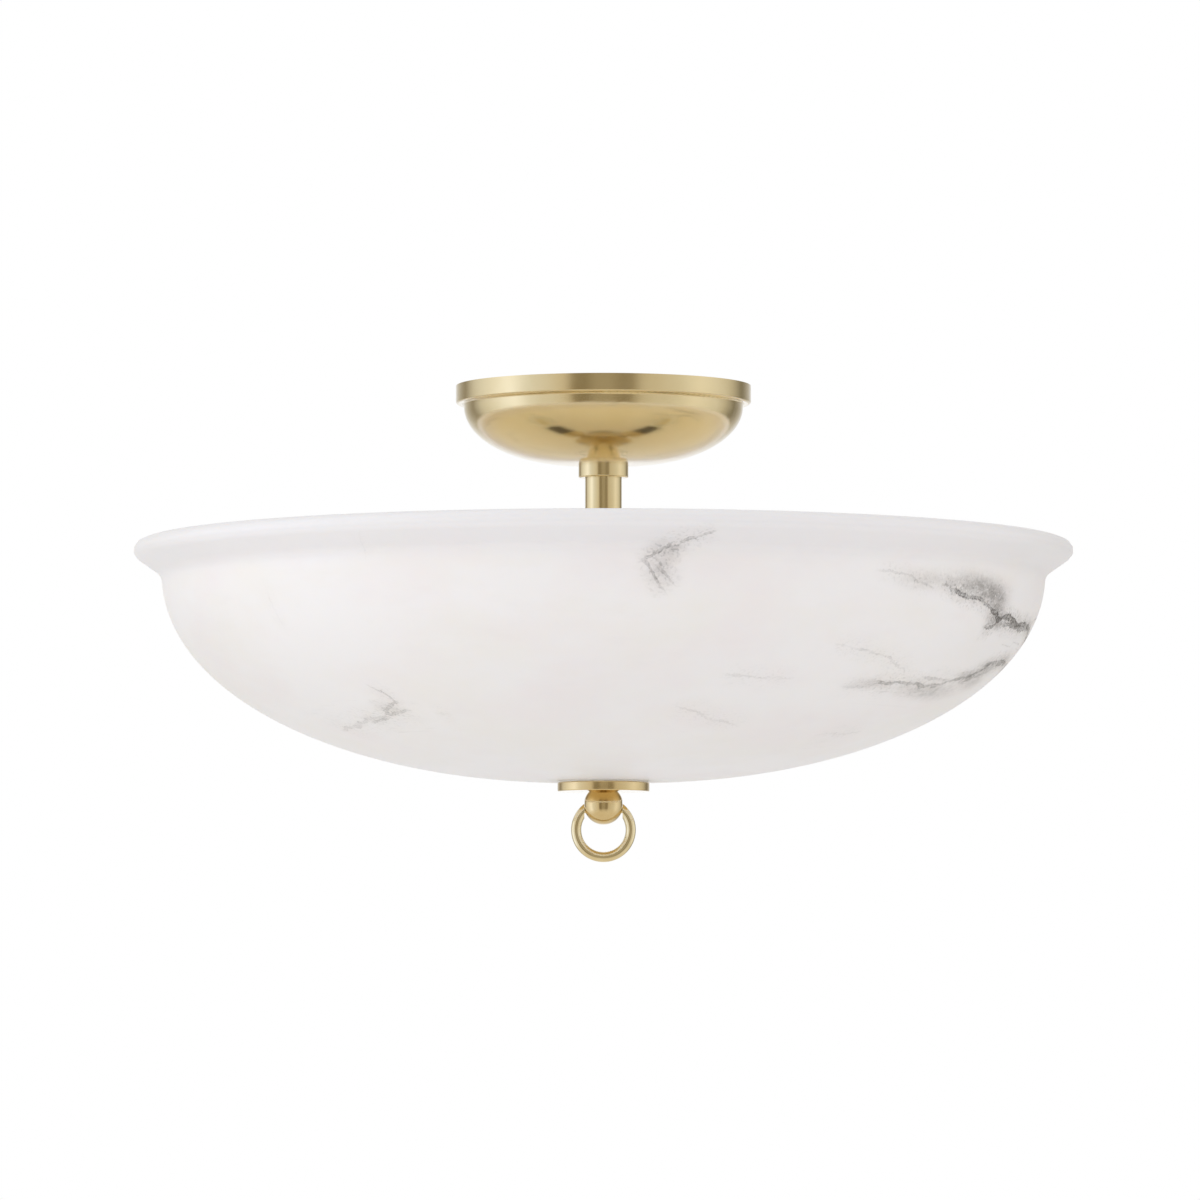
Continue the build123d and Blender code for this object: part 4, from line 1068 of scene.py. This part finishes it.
# %% Polish the stone
POLISH_PATCH = 5 * MM
STONE_GRAIN = 1.1 * MM
GRAIN_DEPTH = 0.02 * MM

polish = lumps(place, POLISH_PATCH, detail=4.0)
feed(shader.inputs["Roughness"], between(polish, 0.38, 0.52))
raise_surface(shader, lumps(place, STONE_GRAIN, detail=3.0), GRAIN_DEPTH, 0.2)
stone_bowl.data.materials.append(alabaster)
print("finish:", alabaster.name, "nodes:", len(tree.nodes))

# %% [markdown]
# ## The threaded rod
# The bowl hangs on a length of quarter-inch threaded rod with twenty turns to the inch. The CAD node is a
# plain round bar, because the thread has no part in how the solids fit. One tooth is drawn as a short line,
# and a Screw modifier carries it up the helix. The turns are merged, and a bisect at each end cuts the rod
# square.

# %% Cut the thread
THREAD_CREST = 6.35 / 2
THREAD_PITCH = 25.4 / 20
THREAD_DEPTH = 0.54 * THREAD_PITCH
THREAD_STEPS = 36
TOOTH = [(0.0, 0.0), (0.44, 1.0), (0.56, 1.0), (1.0, 0.0)]
TURN_GAP = 0.001 * MM
THREAD_SMOOTH = math.radians(30)


def threaded_bar(name, bottom, top):
    """A bar with a thread around the Z axis between two levels in millimetres."""
    start = bottom - THREAD_PITCH
    root = THREAD_CREST - THREAD_DEPTH
    tooth = [(root + rise * THREAD_DEPTH, start + along * THREAD_PITCH) for along, rise in TOOTH]
    bar = draw_section(name, corners(tooth), 1)
    bpy.ops.object.modifier_add(type="SCREW")
    helix = bar.modifiers[-1]
    helix.axis = "Z"
    helix.screw_offset = THREAD_PITCH * MM
    helix.iterations = math.ceil((top - start) / THREAD_PITCH) + 1
    helix.steps = helix.render_steps = THREAD_STEPS
    bpy.ops.object.modifier_apply(modifier=helix.name)
    bpy.ops.object.mode_set(mode="EDIT")
    bpy.ops.mesh.select_all(action="SELECT")
    bpy.ops.mesh.remove_doubles(threshold=TURN_GAP)
    for level, outward in ((bottom, -1), (top, 1)):
        bpy.ops.mesh.select_all(action="SELECT")
        bpy.ops.mesh.bisect(
            plane_co=(0, 0, level * MM),
            plane_no=(0, 0, outward),
            use_fill=True,
            clear_outer=True,
            threshold=TURN_GAP,
        )
    bpy.ops.mesh.select_all(action="SELECT")
    bpy.ops.mesh.normals_make_consistent(inside=False)
    bpy.ops.object.mode_set(mode="OBJECT")
    bpy.ops.object.shade_smooth_by_angle(angle=THREAD_SMOOTH)
    return bar


def height_range(node_name):
    """The lowest and the highest level of a CAD node, in millimetres."""
    low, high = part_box(node_name)
    return low[2] / MM, high[2] / MM


threaded_rod = threaded_bar("threaded_rod", *height_range("tie_rod"))
threaded_rod.data.materials.append(zinc_steel)
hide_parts("tie_rod")
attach(threaded_rod, "root")
print("rod:", [round(v, 2) for v in height_range("tie_rod")], "faces:", len(threaded_rod.data.polygons))

# %% [markdown]
# ## Hexagon nuts
# A nut is a slice of hexagon bar. Its corners are turned off at thirty degrees, and its hole is countersunk
# at both ends. Beveling the corners would give flat facets, but the turned corner is a curve on each flat.
# So the turned form is spun first, and a Boolean keeps what it shares with the hexagon.

# %% Shape a nut
NUT_TURN = math.radians(30)
NUT_FACE_SHARE = 0.96
NUT_SPARE = 0.1
NUT_SINK = 0.45
NUT_STEPS = 60
NUT_SMOOTH = math.radians(25)
FLAT_TO_CORNER = math.radians(30)


def hexagon_nut(name, across_flats, bore, bottom, top):
    """A chamfered nut around the Z axis, with corners along X, between two levels in millimetres."""
    corner = across_flats / 2 / math.cos(FLAT_TO_CORNER)
    face = NUT_FACE_SHARE * across_flats / 2
    outer = corner + NUT_SPARE
    rise = (outer - face) * math.tan(NUT_TURN)
    hole = bore / 2
    section = [
        (hole, bottom + NUT_SINK),
        (hole + NUT_SINK, bottom),
        (face, bottom),
        (outer, bottom + rise),
        (outer, top - rise),
        (face, top),
        (hole + NUT_SINK, top),
        (hole, top - NUT_SINK),
    ]
    nut = spin_section(draw_section(name, corners(section + section[:1]), 1), NUT_STEPS)
    bpy.ops.object.select_all(action="DESELECT")
    bpy.ops.mesh.primitive_cylinder_add(
        vertices=6,
        radius=corner * MM,
        depth=2 * (top - bottom) * MM,
        location=(0, 0, (bottom + top) / 2 * MM),
        rotation=(0, 0, math.pi / 2),
    )
    hexagon_bar = bpy.context.object
    bpy.context.view_layer.objects.active = nut
    bpy.ops.object.modifier_add(type="BOOLEAN")
    cut = nut.modifiers[-1]
    cut.operation = "INTERSECT"
    cut.object = hexagon_bar
    bpy.ops.object.modifier_apply(modifier=cut.name)
    bpy.data.objects.remove(hexagon_bar)
    bpy.ops.object.select_all(action="DESELECT")
    nut.select_set(True)
    bpy.ops.object.shade_smooth_by_angle(angle=NUT_SMOOTH)
    return nut


print("nut chamfer:", round(math.degrees(NUT_TURN)), "degrees")

# %% Put the nuts in place
ROD_NUT_FLATS = 11.1
ROD_NUT_HEIGHT = 5.5
PIPE_NUT_FLATS = 14.3
PIPE_NUT_BORE = 10.3

cup_bottom = height_range("hub_cup")[0]
washer_top = height_range("check_washer")[1]
rod_nut_tops = [height_range("tie_rod_nuts")[1], cup_bottom, washer_top + ROD_NUT_HEIGHT]
rod_nuts = join_pieces(
    [
        hexagon_nut("rod_nut", ROD_NUT_FLATS, 2 * THREAD_CREST, nut_top - ROD_NUT_HEIGHT, nut_top)
        for nut_top in rod_nut_tops
    ],
    "rod_nuts",
)
strap_nut = hexagon_nut("strap_nut", PIPE_NUT_FLATS, PIPE_NUT_BORE, *height_range("hanger_nut"))
cover_nut = hexagon_nut("cover_nut", PIPE_NUT_FLATS, PIPE_NUT_BORE, *height_range("hub_nut"))
for nut, node_name in ((rod_nuts, "tie_rod_nuts"), (strap_nut, "hanger_nut"), (cover_nut, "hub_nut")):
    nut.data.materials.clear()
    nut.data.materials.append(zinc_steel)
    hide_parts(node_name)
    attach(nut, "root")
    sizes = [round((high - low) / MM, 2) for low, high in zip(*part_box(node_name))]
    print(nut.name, [round(v / MM, 2) for v in nut.dimensions], "CAD:", sizes)
